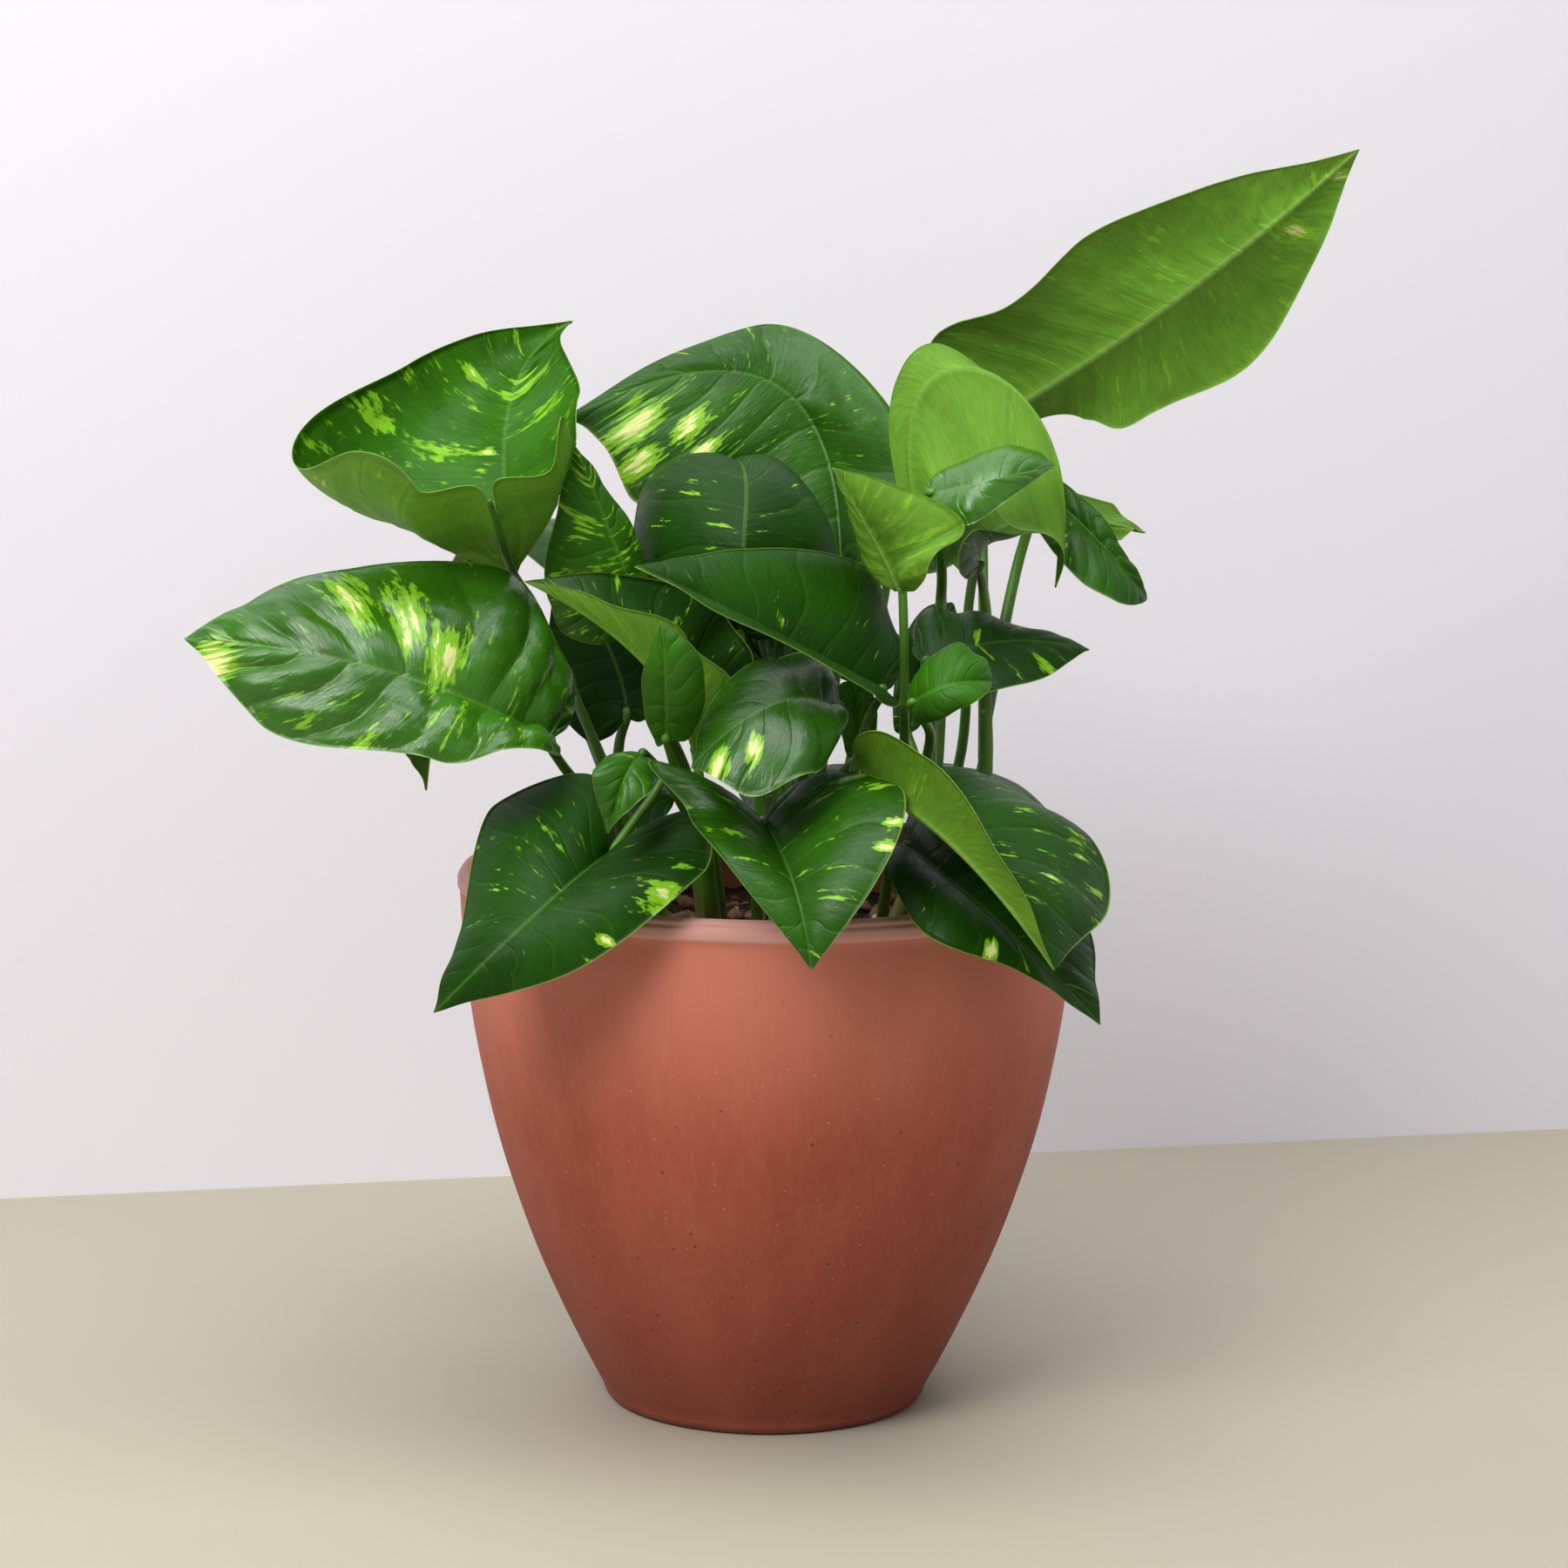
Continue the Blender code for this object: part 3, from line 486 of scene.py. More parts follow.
# Each leaf: its midrib from stalk to tip, points its left and right margins pass through
# (seen looking down on the upper face, tip ahead), and how far each half arches.
bladeShapes = {
    "upper_left": dict(
        rib=[(-60, -26, 205), (-63, -12, 224), (-62, 2, 245), (-48, 8, 262)],
        left=dict(notch=(-64.4, -60, 226), lobe=(-80, -68, 228), wide=(-110, -40, 233), fore=(-87, 3, 252)),
        right=dict(notch=(-62.8, -59, 227), lobe=(-50, -55, 234), wide=(-45, -35, 238), fore=(-48, 0, 251)),
        bulge=(-0.22, -0.12)),
    "left_long": dict(
        rib=[(-51, -50, 169), (-87, -66, 187), (-133, -60, 193)],
        left=dict(lobe=(-50, -62, 168), wide=(-75, -75, 168), fore=(-115, -68, 175)),
        right=dict(lobe=(-46, -38, 183), wide=(-60, -34, 205), fore=(-110, -45, 205)),
        bulge=(0.12, 0.15)),
    "left_behind": dict(
        rib=[(-61, 25, 190), (-75, 15, 191), (-83, 0, 149)],
        left=dict(wide=(-67, 1, 175), fore=(-87, -7, 159)),
        right=dict(wide=(-73, 22, 203), fore=(-82, 12, 169)),
        bulge=(0.07, 0.07)),
    "top_centre": dict(
        rib=[(17, 10, 203), (0, 28, 246), (-50, 0, 239)],
        left=dict(wide=(-12, 12, 217), fore=(-35, 2, 222)),
        right=dict(lobe=(24, -2, 211), wide=(35, 8, 229), fore=(-4, 38, 260)),
        bulge=(0.06, 0.06)),
    "centre_dome": dict(
        rib=[(-7, -30, 192), (-6, -42, 217), (-7, -18, 230), (-18, 5, 220)],
        left=dict(lobe=(-17, -24, 192), wide=(-33, -18, 208), fore=(-27, -4, 227)),
        right=dict(lobe=(5, -24, 192), wide=(15, -20, 205), fore=(4, -4, 228)),
        bulge=(0.15, 0.15)),
    "triangle": dict(
        rib=[(-29, -38, 196), (-37, -40, 216), (-45, -42, 236)],
        left=dict(lobe=(-42, -30, 189), wide=(-52, -32, 199), fore=(-49, -39, 222)),
        right=dict(lobe=(-28, -34, 198), wide=(-29, -30, 207), fore=(-35, -34, 222)),
        bulge=(0.10, 0.10)),
    "centre_long": dict(
        rib=[(26, -58, 182), (-2, -76, 199), (-30, -82, 213)],
        left=dict(lobe=(28, -66, 180), wide=(20, -76, 186), fore=(-10, -84, 203)),
        right=dict(lobe=(30, -42, 191), wide=(21, -44, 210), fore=(-7, -68, 215)),
        bulge=(0.10, 0.13)),
    "small_round": dict(
        rib=[(32, -70, 181), (40, -76, 186), (50, -68, 186)],
        left=dict(wide=(39, -62, 192)),
        right=dict(wide=(40, -76, 179)),
        bulge=(0.15, 0.15), blunt=0.6),
    "funnel": dict(
        rib=[(30, -64, 206), (23, -60, 219), (14, -56, 233)],
        left=dict(lobe=(35, -80, 212), wide=(43, -80, 223), fore=(26, -68, 231)),
        right=dict(lobe=(26, -50, 207), wide=(20, -46, 220), fore=(17, -52, 227)),
        bulge=(-0.15, -0.15)),
    "pale_back": dict(
        rib=[(34, -24, 221), (40, -20, 252), (61, -28, 244), (66, -38, 204)],
        left=dict(lobe=(39, -33, 219), wide=(46, -32, 226), fore=(59, -40, 217)),
        right=dict(wide=(29, -15, 249), fore=(52, -13, 251)),
        bulge=(0.04, 0.04)),
    "glossy_small": dict(
        rib=[(36, -54, 227), (50, -62, 231), (65, -46, 233)],
        left=dict(wide=(45, -48, 234), fore=(59, -42, 237)),
        right=dict(wide=(44, -66, 221), fore=(57, -58, 229)),
        bulge=(0.12, 0.12), lobe=0.5),
    "top_right": dict(
        rib=[(59, 14, 242), (102, 22, 271), (142, 30, 304)],
        left=dict(lobe=(65, 22, 238), wide=(90, 27, 238), fore=(125, 35, 261)),
        right=dict(lobe=(36, 4, 252), wide=(58, 2, 268), fore=(91, 15, 291)),
        bulge=(0.08, 0.08), full=0.85),
    "small_tip_back": dict(
        rib=[(52, 34, 220), (56, 32, 238), (63, 22, 256)],
        left=dict(wide=(43, 32, 238)),
        right=dict(wide=(65, 34, 238)),
        bulge=(0.10, 0.10)),
    "right_under": dict(
        rib=[(49, -24, 207), (61, -8, 217), (92, 30, 210)],
        left=dict(lobe=(43, -38, 210), wide=(59, -26, 215), fore=(86, 19, 210)),
        right=dict(lobe=(40, -14, 212), wide=(57, 4, 223), fore=(83, 28, 217)),
        bulge=(0.07, 0.07)),
    "right_droop": dict(
        rib=[(65, -10, 224), (78, -22, 212), (89, -16, 199)],
        left=dict(wide=(73, -14, 223)),
        right=dict(wide=(68, -30, 209)),
        bulge=(0.10, 0.10), blunt=0.7),
    "right_mid": dict(
        rib=[(36, -40, 186), (54, -36, 191), (75, -26, 188)],
        left=dict(lobe=(34, -24, 194), wide=(46, -18, 195), fore=(63, -22, 192)),
        right=dict(lobe=(38, -50, 179), wide=(49, -52, 181), fore=(66, -38, 184)),
        bulge=(0.10, 0.10)),
    "kidney": dict(
        rib=[(16, -58, 178), (1, -80, 182), (-17, -84, 168)],
        left=dict(lobe=(18, -68, 176), wide=(10, -88, 168), fore=(-6, -94, 164)),
        right=dict(lobe=(13, -46, 186), wide=(-1, -52, 189), fore=(-15, -68, 176)),
        bulge=(0.12, 0.12)),
    "taco": dict(
        rib=[(-17, -42, 165), (-29, -60, 189), (-56, -52, 206)],
        left=dict(lobe=(-8, -54, 177), wide=(-18, -63, 194), fore=(-38, -62, 203)),
        right=dict(lobe=(-5, -43, 179), wide=(-10, -47, 198), fore=(-37, -51, 208)),
        bulge=(-0.08, -0.10)),
    "left_shade": dict(
        rib=[(-34, -10, 169), (-39, -2, 185), (-52, 8, 203)],
        left=dict(wide=(-52, 0, 172)),
        right=dict(wide=(-24, -4, 186)),
        bulge=(0.10, 0.10)),
    "small_front": dict(
        rib=[(-23, -74, 173), (-23, -84, 188), (-24, -84, 201)],
        left=dict(wide=(-28, -80, 183)),
        right=dict(wide=(-14, -80, 185)),
        bulge=(0.10, 0.10)),
    "small_folded": dict(
        rib=[(-28, -64, 168), (-32, -76, 165), (-36, -78, 152)],
        left=dict(wide=(-26, -74, 162)),
        right=dict(wide=(-38, -74, 168)),
        bulge=(0.10, 0.10)),
    "front_left": dict(
        rib=[(-36, -55, 144), (-53, -80, 133), (-75, -80, 111)],
        left=dict(lobe=(-18, -58, 154), wide=(-14, -72, 143), fore=(-47, -84, 120)),
        right=dict(lobe=(-39, -42, 159), wide=(-63, -48, 153), fore=(-70, -72, 128)),
        bulge=(0.10, 0.12)),
    "front_centre": dict(
        rib=[(-1, -66, 153), (6, -92, 143), (10, -102, 126)],
        left=dict(lobe=(9, -56, 162), wide=(30, -74, 162), fore=(24, -98, 145)),
        right=dict(notch=(-11, -62, 160), lobe=(-24, -66, 166), wide=(-18, -76, 157), fore=(-6, -97, 145)),
        bulge=(0.12, 0.10)),
    "front_right_fold": dict(
        rib=[(23, -60, 160), (42, -88, 151), (64, -95, 125)],
        left=dict(lobe=(41, -46, 162), wide=(71, -48, 150), fore=(77, -65, 132)),
        right=dict(lobe=(20, -68, 173), wide=(35, -84, 171), fore=(52, -98, 151)),
        bulge=(0.10, 0.05)),
    "front_right_low": dict(
        rib=[(32, -48, 145), (53, -72, 131), (76, -72, 108)],
        left=dict(lobe=(36, -28, 151), wide=(61, -40, 145), fore=(75, -58, 123)),
        right=dict(lobe=(27, -60, 143), wide=(35, -82, 131), fore=(57, -82, 122)),
        bulge=(0.10, 0.10)),
    "small_behind": dict(
        rib=[(21, -38, 164), (20, -42, 174), (19, -44, 183)],
        left=dict(wide=(15, -43, 175)),
        right=dict(wide=(25, -43, 175)),
        bulge=(0.10, 0.10)),
    "glossy_behind": dict(
        rib=[(4, -14, 171), (-1, -18, 182), (-7, -14, 193)],
        left=dict(wide=(-8, -16, 182)),
        right=dict(wide=(5, -18, 186)),
        bulge=(0.10, 0.10)),
    "right_shade": dict(
        rib=[(33, 0, 165), (38, 10, 183), (43, 15, 194)],
        left=dict(wide=(31, 6, 181)),
        right=dict(wide=(43, 10, 182)),
        bulge=(0.10, 0.10)),
    "back_high": dict(
        rib=[(-5, 40, 205), (-9, 65, 226), (-22, 93, 221)],
        left=dict(wide=(-34, 56, 217)),
        right=dict(wide=(19, 63, 222)),
        bulge=(0.12, 0.12)),
    "back_left_high": dict(
        rib=[(-35, 32, 195), (-58, 54, 207), (-84, 72, 192)],
        left=dict(wide=(-60, 26, 204)),
        right=dict(wide=(-40, 68, 200)),
        bulge=(0.12, 0.12)),
    "back_right_high": dict(
        rib=[(30, 34, 205), (46, 62, 217), (60, 90, 206)],
        left=dict(wide=(16, 60, 212)),
        right=dict(wide=(60, 42, 212)),
        bulge=(0.12, 0.12)),
    "back_left_mid": dict(
        rib=[(-16, 50, 172), (-34, 74, 177), (-52, 96, 166)],
        left=dict(wide=(-46, 58, 172)),
        right=dict(wide=(-14, 82, 172)),
        bulge=(0.12, 0.12)),
    "back_centre_mid": dict(
        rib=[(8, 46, 178), (12, 75, 182), (14, 102, 166)],
        left=dict(wide=(-10, 66, 176)),
        right=dict(wide=(36, 62, 174)),
        bulge=(0.12, 0.12)),
    "back_right_mid": dict(
        rib=[(32, 40, 144), (50, 60, 146), (70, 76, 126)],
        left=dict(wide=(34, 64, 142)),
        right=dict(wide=(62, 44, 136)),
        bulge=(0.12, 0.12)),
    "back_left_low": dict(
        rib=[(-24, 50, 140), (-38, 76, 140), (-52, 98, 118)],
        left=dict(wide=(-48, 60, 134)),
        right=dict(wide=(-18, 80, 134)),
        bulge=(0.12, 0.12)),
    "back_right_low": dict(
        rib=[(10, 54, 142), (16, 82, 142), (22, 106, 118)],
        left=dict(wide=(-8, 78, 138)),
        right=dict(wide=(30, 78, 137)),
        bulge=(0.12, 0.12)),
}

# How each leaf differs in finish: tone 0 deep green to 1 fresh green, flecks of pale green,
# quilt = height of the cushions between veins in mm, gloss, ripple of the margin in mm, back =
# how pale the underside is. patches = (half, share round the outline, share out from the
# midrib, length along the veins in mm, width in mm, strength).
plainLook = dict(tone=0.3, flecks=0.30, quilt=0.3, gloss=0.5, ripple=0.5, back=0.45, ridge=0.7, veins=10,
    patches=[])
bladeLooks = {
    "upper_left": dict(tone=0.6, flecks=0.62, quilt=0.7, gloss=0.4, ripple=0.8, back=1.0, veins=16, patches=[
        (0, 0.62, 0.75, 12, 7, 0.6), (0, 0.62, 0.35, 20, 4, 0.65), (0, 0.59, 0.1, 8, 3, 0.6),
        (1, 0.80, 0.15, 9, 3, 0.8),
        (0, 0.64, 0.1, 10, 2, 1.0), (0, 0.44, 0.9, 10, 5, 0.9), (0, 0.35, 0.9, 9, 4, 0.9),
        (0, 0.77, 0.6, 8, 3, 0.7)]),
    "left_long": dict(tone=0.62, flecks=0.45, quilt=2.1, gloss=0.95, ripple=0.6, veins=11, patches=[
        (1, 0.67, 0.6, 18, 7, 1.3), (1, 0.62, 0.35, 18, 6, 1.2), (1, 0.56, 0.15, 15, 7, 1.1),
        (0, 0.85, 0.95, 9, 6, 1.6),
        (0, 0.94, 0.6, 7, 4, 1.0), (0, 0.66, 0.8, 12, 3, 0.7), (0, 0.58, 0.85, 12, 3, 0.6)]),
    "left_behind": dict(tone=0.2),
    "top_centre": dict(tone=0.38, flecks=0.40, quilt=0.45, gloss=0.7, ripple=0.6, veins=13, patches=[
        (0, 0.80, 0.75, 16, 6, 1.4), (0, 0.73, 0.85, 12, 5, 1.3), (0, 0.73, 0.5, 11, 4, 1.5),
        (0, 0.66, 0.55, 9, 4, 1.2),
        (0, 0.56, 0.8, 9, 2, 1.0), (0, 0.86, 0.5, 9, 5, 0.7)]),
    "centre_dome": dict(tone=0.08, flecks=0.26, quilt=0.22, gloss=0.38, patches=[
        (0, 0.62, 0.3, 8, 2, 0.7), (0, 0.57, 0.08, 7, 2, 0.7), (0, 0.51, 0.15, 5, 2, 0.8)]),
    "triangle": dict(tone=0.5, flecks=0.80, quilt=0.3, patches=[(0, 0.68, 0.5, 8, 5, 0.4)]),
    "centre_long": dict(tone=0.15, flecks=0.24, quilt=0.2, gloss=0.38, patches=[(1, 0.63, 0.12, 5, 2, 1.0)]),
    "small_round": dict(tone=0.55, flecks=0.0, gloss=0.5, quilt=0.15),
    "funnel": dict(tone=0.5, flecks=0.72, quilt=0.4, back=0.4, ridge=0.6),
    "pale_back": dict(tone=0.7, flecks=0.1, quilt=0.3, back=0.5, gloss=0.4, ridge=0.15, veins=7),
    "glossy_small": dict(tone=0.8, flecks=0.0, quilt=0.3, gloss=1.1),
    "top_right": dict(tone=0.42, flecks=0.5, quilt=0.9, back=0.5, veins=19, ripple=0.8, gloss=0.5,
        ridge=0.5, patches=[
        (0, 0.82, 0.45, 9, 3, 1.3), (0, 0.94, 0.4, 8, 2, 1.3), (1, 0.63, 0.15, 10, 3, 0.7),
        (0, 0.54, 0.3, 16, 6, 0.4)]),
    "right_droop": dict(tone=0.4, flecks=0.15, quilt=0.7, gloss=0.5, veins=12),
    "right_mid": dict(tone=0.12, flecks=0.35, patches=[(1, 0.68, 0.85, 6, 3, 1.2),
        (0, 0.55, 0.15, 6, 3, 0.6)]),
    "kidney": dict(tone=0.3, flecks=0.15, quilt=0.3, gloss=0.9, patches=[
        (0, 0.71, 0.5, 7, 4, 1.5), (0, 0.82, 0.83, 7, 4, 1.5)]),
    "taco": dict(tone=0.08, flecks=0.45, quilt=0.3, back=0.35, ridge=0.3),
    # painted shade: tone 0 and no flecks darken this leaf's green where it stands in shade
    "left_shade": dict(tone=0.0, flecks=0.0, gloss=0.3),
    "small_front": dict(tone=0.6, flecks=0.15, gloss=0.5, back=0.8),
    "small_folded": dict(tone=0.6, flecks=0.3, gloss=0.8),
    "front_left": dict(tone=0.12, flecks=0.38, quilt=0.25, gloss=0.36, veins=13, patches=[
        (0, 0.55, 0.9, 7, 4, 1.3), (0, 0.50, 0.8, 5, 2, 1.0), (0, 0.63, 0.85, 4, 2, 1.4)]),
    "front_centre": dict(tone=0.34, flecks=0.48, quilt=0.3, gloss=0.6, veins=12, patches=[
        (0, 0.42, 0.9, 9, 3, 1.5), (0, 0.48, 0.85, 9, 2, 1.2), (0, 0.58, 0.95, 5, 3, 1.5),
        (0, 0.63, 0.95, 4, 2, 1.3),
        (1, 0.55, 0.5, 9, 3, 0.5)]),
    "front_right_fold": dict(tone=0.16, flecks=0.46, quilt=0.3, back=0.25, gloss=0.38, ridge=0.5, patches=[
        (0, 0.62, 0.75, 6, 2, 1.0), (0, 0.67, 0.85, 5, 2, 1.1), (0, 0.72, 0.5, 5, 2, 0.9)]),
    "front_right_low": dict(tone=0.12, flecks=0.42, quilt=0.4, patches=[(1, 0.64, 0.9, 6, 3, 1.5)]),
    "small_behind": dict(tone=0.8),
    "glossy_behind": dict(tone=0.3, gloss=1.0, quilt=0.6),
    "right_shade": dict(tone=0.1),
}


def spline(points, share):
    # Catmull-Rom curve through points at shares 0 to 1
    points = np.asarray(points, float)
    count = len(points) - 1
    x = np.clip(np.asarray(share, float) * count, 0, count - 1e-9)
    i = x.astype(int)
    f = (x - i)[..., None]
    ends = np.vstack([2 * points[0] - points[1], points, 2 * points[-1] - points[-2]])
    a, b, c, d = ends[i], ends[i + 1], ends[i + 2], ends[i + 3]
    cubic = (2 * a - 5 * b + 4 * c - d) * f ** 2 + (3 * b - a - 3 * c + d) * f ** 3
    return 0.5 * (2 * b + (c - a) * f + cubic)


def unit(v):
    # vectors divided by their own length
    return v / np.maximum(np.linalg.norm(v, axis=-1, keepdims=True), 1e-9)


def polynomial(points, u):
    # the one polynomial through evenly spaced points, from Lagrange's weights
    points = np.asarray(points, float)
    knots = np.linspace(0, 1, len(points))
    total = 0
    for i, point in enumerate(points):
        weight = np.ones_like(u)
        for j, knot in enumerate(knots):
            if j != i:
                weight = weight * (u - knot) / (knots[i] - knot)
        total = total + weight[..., None] * point
    return total


def midrib(points, u):
    # the polynomial, running straight on behind the stalk for u below 0
    u = np.asarray(u, float)
    points = np.asarray(points, float)
    size = np.linalg.norm(np.diff(points, axis=0), axis=1).sum()
    start = unit(polynomial(points, np.array(0.02)) - points[0])
    return polynomial(points, np.clip(u, 0, 1)) + np.minimum(u, 0)[..., None] * size * start


bladeGrid = {
    "rows": 110, "columns": 20,
    "thickness": 0.42, "ribHeight": 1.0, "ribWidth": 0.85,      # mm
    "veinStart": 0.3, "veinEase": 1.1,      # share of the outline before the first vein; how veins crowd
    "forwardEase": 1.35,                    # how side veins bend forward
    "reachEase": 0.92,                      # how columns spread toward the margin
    "archStart": 0.35,                      # share of the outline where the arch is full
    "slopeStep": 0.01,                      # step along the midrib that finds its direction
}


def stretch(leaf, along):
    # longer or shorter lobes, and the widest place moved toward the tip
    return np.minimum(along, 0) * leaf.get("lobe", 1.0) + np.maximum(along, 0) ** leaf.get("full", 1.0)


def reach(leaf, side, share):
    # vector from midrib to margin at full width, eased from one given margin point to the next
    stations, vectors = [], []
    for name, place in heartStations.items():
        if name in leaf[side]:
            along, across = spline(heartOutline, place)
            foot = midrib(leaf["rib"], stretch(leaf, along))
            stations.append(place)
            vectors.append((np.array(leaf[side][name], float) - foot) / across)
    vectors = np.array(vectors)
    if len(stations) == 1:
        return np.repeat(vectors, len(share), 0)
    stations = np.array(stations)
    i = np.clip(np.searchsorted(stations, share, side="right") - 1, 0, len(stations) - 2)
    f = np.clip((share - stations[i]) / (stations[i + 1] - stations[i]), 0, 1)
    f = (f * f * (3 - 2 * f))[:, None]
    return vectors[i] * (1 - f) + vectors[i + 1] * f


def halfBlade(leaf, side, share, out):
    # grid of one half: rows follow the side veins, columns step from midrib to margin.
    # point = midrib(u) + reach * across * out^0.92 + arch; u runs from the vein's start on the
    # midrib to its end on the margin as out^1.35, and the arch is width * bulge * 4 out (1 - out),
    # fading to nothing beside the notch
    g = bladeGrid
    step = g["slopeStep"]
    heart = spline(heartOutline, share)
    along = stretch(leaf, heart[:, 0])
    across = np.clip(heart[:, 1], 0, None)
    across = np.where(share > 0.5, across ** leaf.get("blunt", 1.0), across)
    vein = stretch(leaf, np.clip((share - g["veinStart"]) / (1 - g["veinStart"]), 0, 1) ** g["veinEase"])
    u = vein[:, None] + (along - vein)[:, None] * out[None] ** g["forwardEase"]
    foot = midrib(leaf["rib"], u)
    inside = np.clip(u, 0, 1) * (1 - 2 * step) + step
    ahead = unit(midrib(leaf["rib"], inside + step) - midrib(leaf["rib"], inside - step))
    vector = reach(leaf, side, share)
    sign = -1 if side == "left" else 1
    normal = sign * unit(np.cross(vector[:, None, :] + 0 * ahead, ahead))
    width = np.linalg.norm(vector, axis=1) * across
    arch = leaf["bulge"][0 if side == "left" else 1] * width * np.clip(share / g["archStart"], 0, 1)
    rise = arch[:, None] * 4 * out * (1 - out)
    lateral = (vector * across[:, None])[:, None, :] * (out ** g["reachEase"])[:, None]
    return foot + lateral + normal * rise[..., None], vein, width


def gridNormals(points, faces):
    # area-weighted sum of the face normals round each point
    corner = points[faces]
    area = np.cross(corner[:, 1] - corner[:, 0], corner[:, 2] - corner[:, 0])
    normal = np.zeros_like(points)
    for k in range(3):
        np.add.at(normal, faces[:, k], area)
    return unit(normal)


def bladePiece(name, leaf, look, material):
    # a closed leaf: the two halves as one grid, raised by cushions and ripples, then given an
    # upper and a lower face joined round the rim
    rows, columns = bladeGrid["rows"], bladeGrid["columns"]
    share = np.linspace(0, 1, rows + 1)
    out = np.linspace(0, 1, columns + 1) ** 1.3
    left, vein, leftWidth = halfBlade(leaf, "left", share, out)
    right, vein, rightWidth = halfBlade(leaf, "right", share, out)
    ribLength = np.linalg.norm(np.diff(midrib(leaf["rib"], np.linspace(0, 1, 40)), axis=0), axis=1).sum()

    # one grid from the left margin over the midrib to the right margin
    grid = np.concatenate([left[:, ::-1], right[:, 1:]], 1)
    outAll = np.concatenate([out[::-1], out[1:]])[None] + 0 * share[:, None]
    flatOut = 0 * out[None]
    widthAll = np.concatenate([leftWidth[:, None] + flatOut, rightWidth[:, None] + flatOut[:, 1:]], 1)
    sideAll = np.concatenate([-np.ones(columns), [0.0], np.ones(columns)])[None] + 0 * share[:, None]
    veinAll = vein[:, None] + 0 * outAll
    shareAll = share[:, None] + 0 * outAll

    # points that meet share one number: the base, the tip and the folded rows near the stalk
    across = 2 * columns + 1
    number = np.arange((rows + 1) * across).reshape(rows + 1, across)
    number[0] = columns
    number[share <= bladeGrid["veinStart"], columns] = columns
    number[rows] = rows * across + columns
    a, b = number[:-1, :-1].ravel(), number[:-1, 1:].ravel()
    d, c = number[1:, :-1].ravel(), number[1:, 1:].ravel()
    faces = np.concatenate([np.stack([a, b, c], 1), np.stack([a, c, d], 1)])
    whole = (faces[:, 0] != faces[:, 1]) & (faces[:, 1] != faces[:, 2]) & (faces[:, 0] != faces[:, 2])
    faces = faces[whole]
    points = grid.reshape(-1, 3)
    normal = gridNormals(points, faces)

    # cushions between the side veins: |sin| of the vein count, low at the veins and the rim
    phase = shareAll * look["veins"] + 0.12 * np.sin(6 * outAll + 9 * shareAll + sideAll)
    cushion = np.abs(np.sin(np.pi * phase)) ** 0.8 - 0.55
    lumps = 0.5 + 0.5 * np.sin(outAll * widthAll * 0.9 + 2.4 * np.sin(phase * 2.1 + sideAll) + sideAll)
    window = np.clip(outAll * 5, 0, 1) * np.clip((1.02 - outAll) * 5, 0, 1)
    window = window * np.clip((1 - shareAll) * 6, 0, 1) * np.clip(shareAll * 7, 0, 1)
    lift = look["quilt"] * window * cushion * (0.55 + 0.6 * lumps)
    seed = sum(ord(letter) for letter in name) * 0.37
    wave = np.sin(seed + shareAll * 17 + sideAll * 1.7) + 0.6 * np.sin(seed * 2 + shareAll * 31 - sideAll)
    ends = np.clip((1 - shareAll) * 5, 0, 1) * np.clip(shareAll * 5, 0, 1)
    lift = lift + look["ripple"] * wave * outAll ** 3 * ends
    ribAway = outAll * widthAll / bladeGrid["ribWidth"]
    onRib = np.exp(-ribAway ** 2) * np.clip(1.05 - veinAll, 0.1, 1)
    lift = lift - 0.3 * onRib
    points = points + normal * lift.reshape(-1, 1)
    normal = gridNormals(points, faces)

    # two faces: the lower one stands further off along the midrib, and both close at the rim
    rimTaper = 1 - 0.55 * np.clip((outAll - 0.96) / 0.04, 0, 1)
    half = bladeGrid["thickness"] / 2 * rimTaper
    upper = points + normal * half.reshape(-1, 1)
    lower = points - normal * (half + bladeGrid["ribHeight"] * look["ridge"] * onRib).reshape(-1, 1)
    count = len(points)
    edge = np.concatenate([number[:, 0], number[::-1, -1][1:]])
    keep = np.concatenate([[True], edge[1:] != edge[:-1]])
    edge = edge[keep]
    if edge[0] != edge[-1]:
        edge = np.append(edge, edge[0])
    e, f = edge[:-1], edge[1:]
    rim = np.concatenate([np.stack([e, f, f + count], 1), np.stack([e, f + count, e + count], 1)])
    solid = np.concatenate([faces, faces[:, ::-1] + count, rim[:, ::-1]])

    # what the material needs at each point
    acrossMm = sideAll * outAll * widthAll
    mark = np.zeros_like(outAll)
    flat = grid.reshape(rows + 1, across, 3)
    for halfSide, patchShare, patchOut, length, width, strength in look["patches"]:
        i = int(round(patchShare * rows))
        j = columns + (1 if halfSide else -1) * int(np.argmin(np.abs(out - patchOut)))
        centre = flat[i, j]
        run = unit(flat[i, columns + (1 if halfSide else -1) * columns] - flat[i, columns])
        apart = flat - centre
        far = apart @ run
        beside = np.linalg.norm(apart - far[..., None] * run, axis=-1)
        mark = np.maximum(mark, strength * np.exp(-(far / length * 1.6) ** 2 - (beside / width * 1.6) ** 2))
    placeLayer = np.stack([veinAll * ribLength, acrossMm, outAll], -1).reshape(-1, 3)
    markLayer = np.stack([phase, mark, np.zeros_like(mark)], -1).reshape(-1, 3)
    backLayer = markLayer + np.array([0, 0, 1.0])

    used, inverse = np.unique(solid, return_inverse=True)
    allPoints = np.vstack([upper, lower])[used]
    blade = addMesh(name, allPoints, inverse.reshape(solid.shape).tolist(), material)
    addAttribute(blade, "bladePlace", np.vstack([placeLayer, placeLayer])[used])
    addAttribute(blade, "bladeMark", np.vstack([markLayer, backLayer])[used])
    return blade


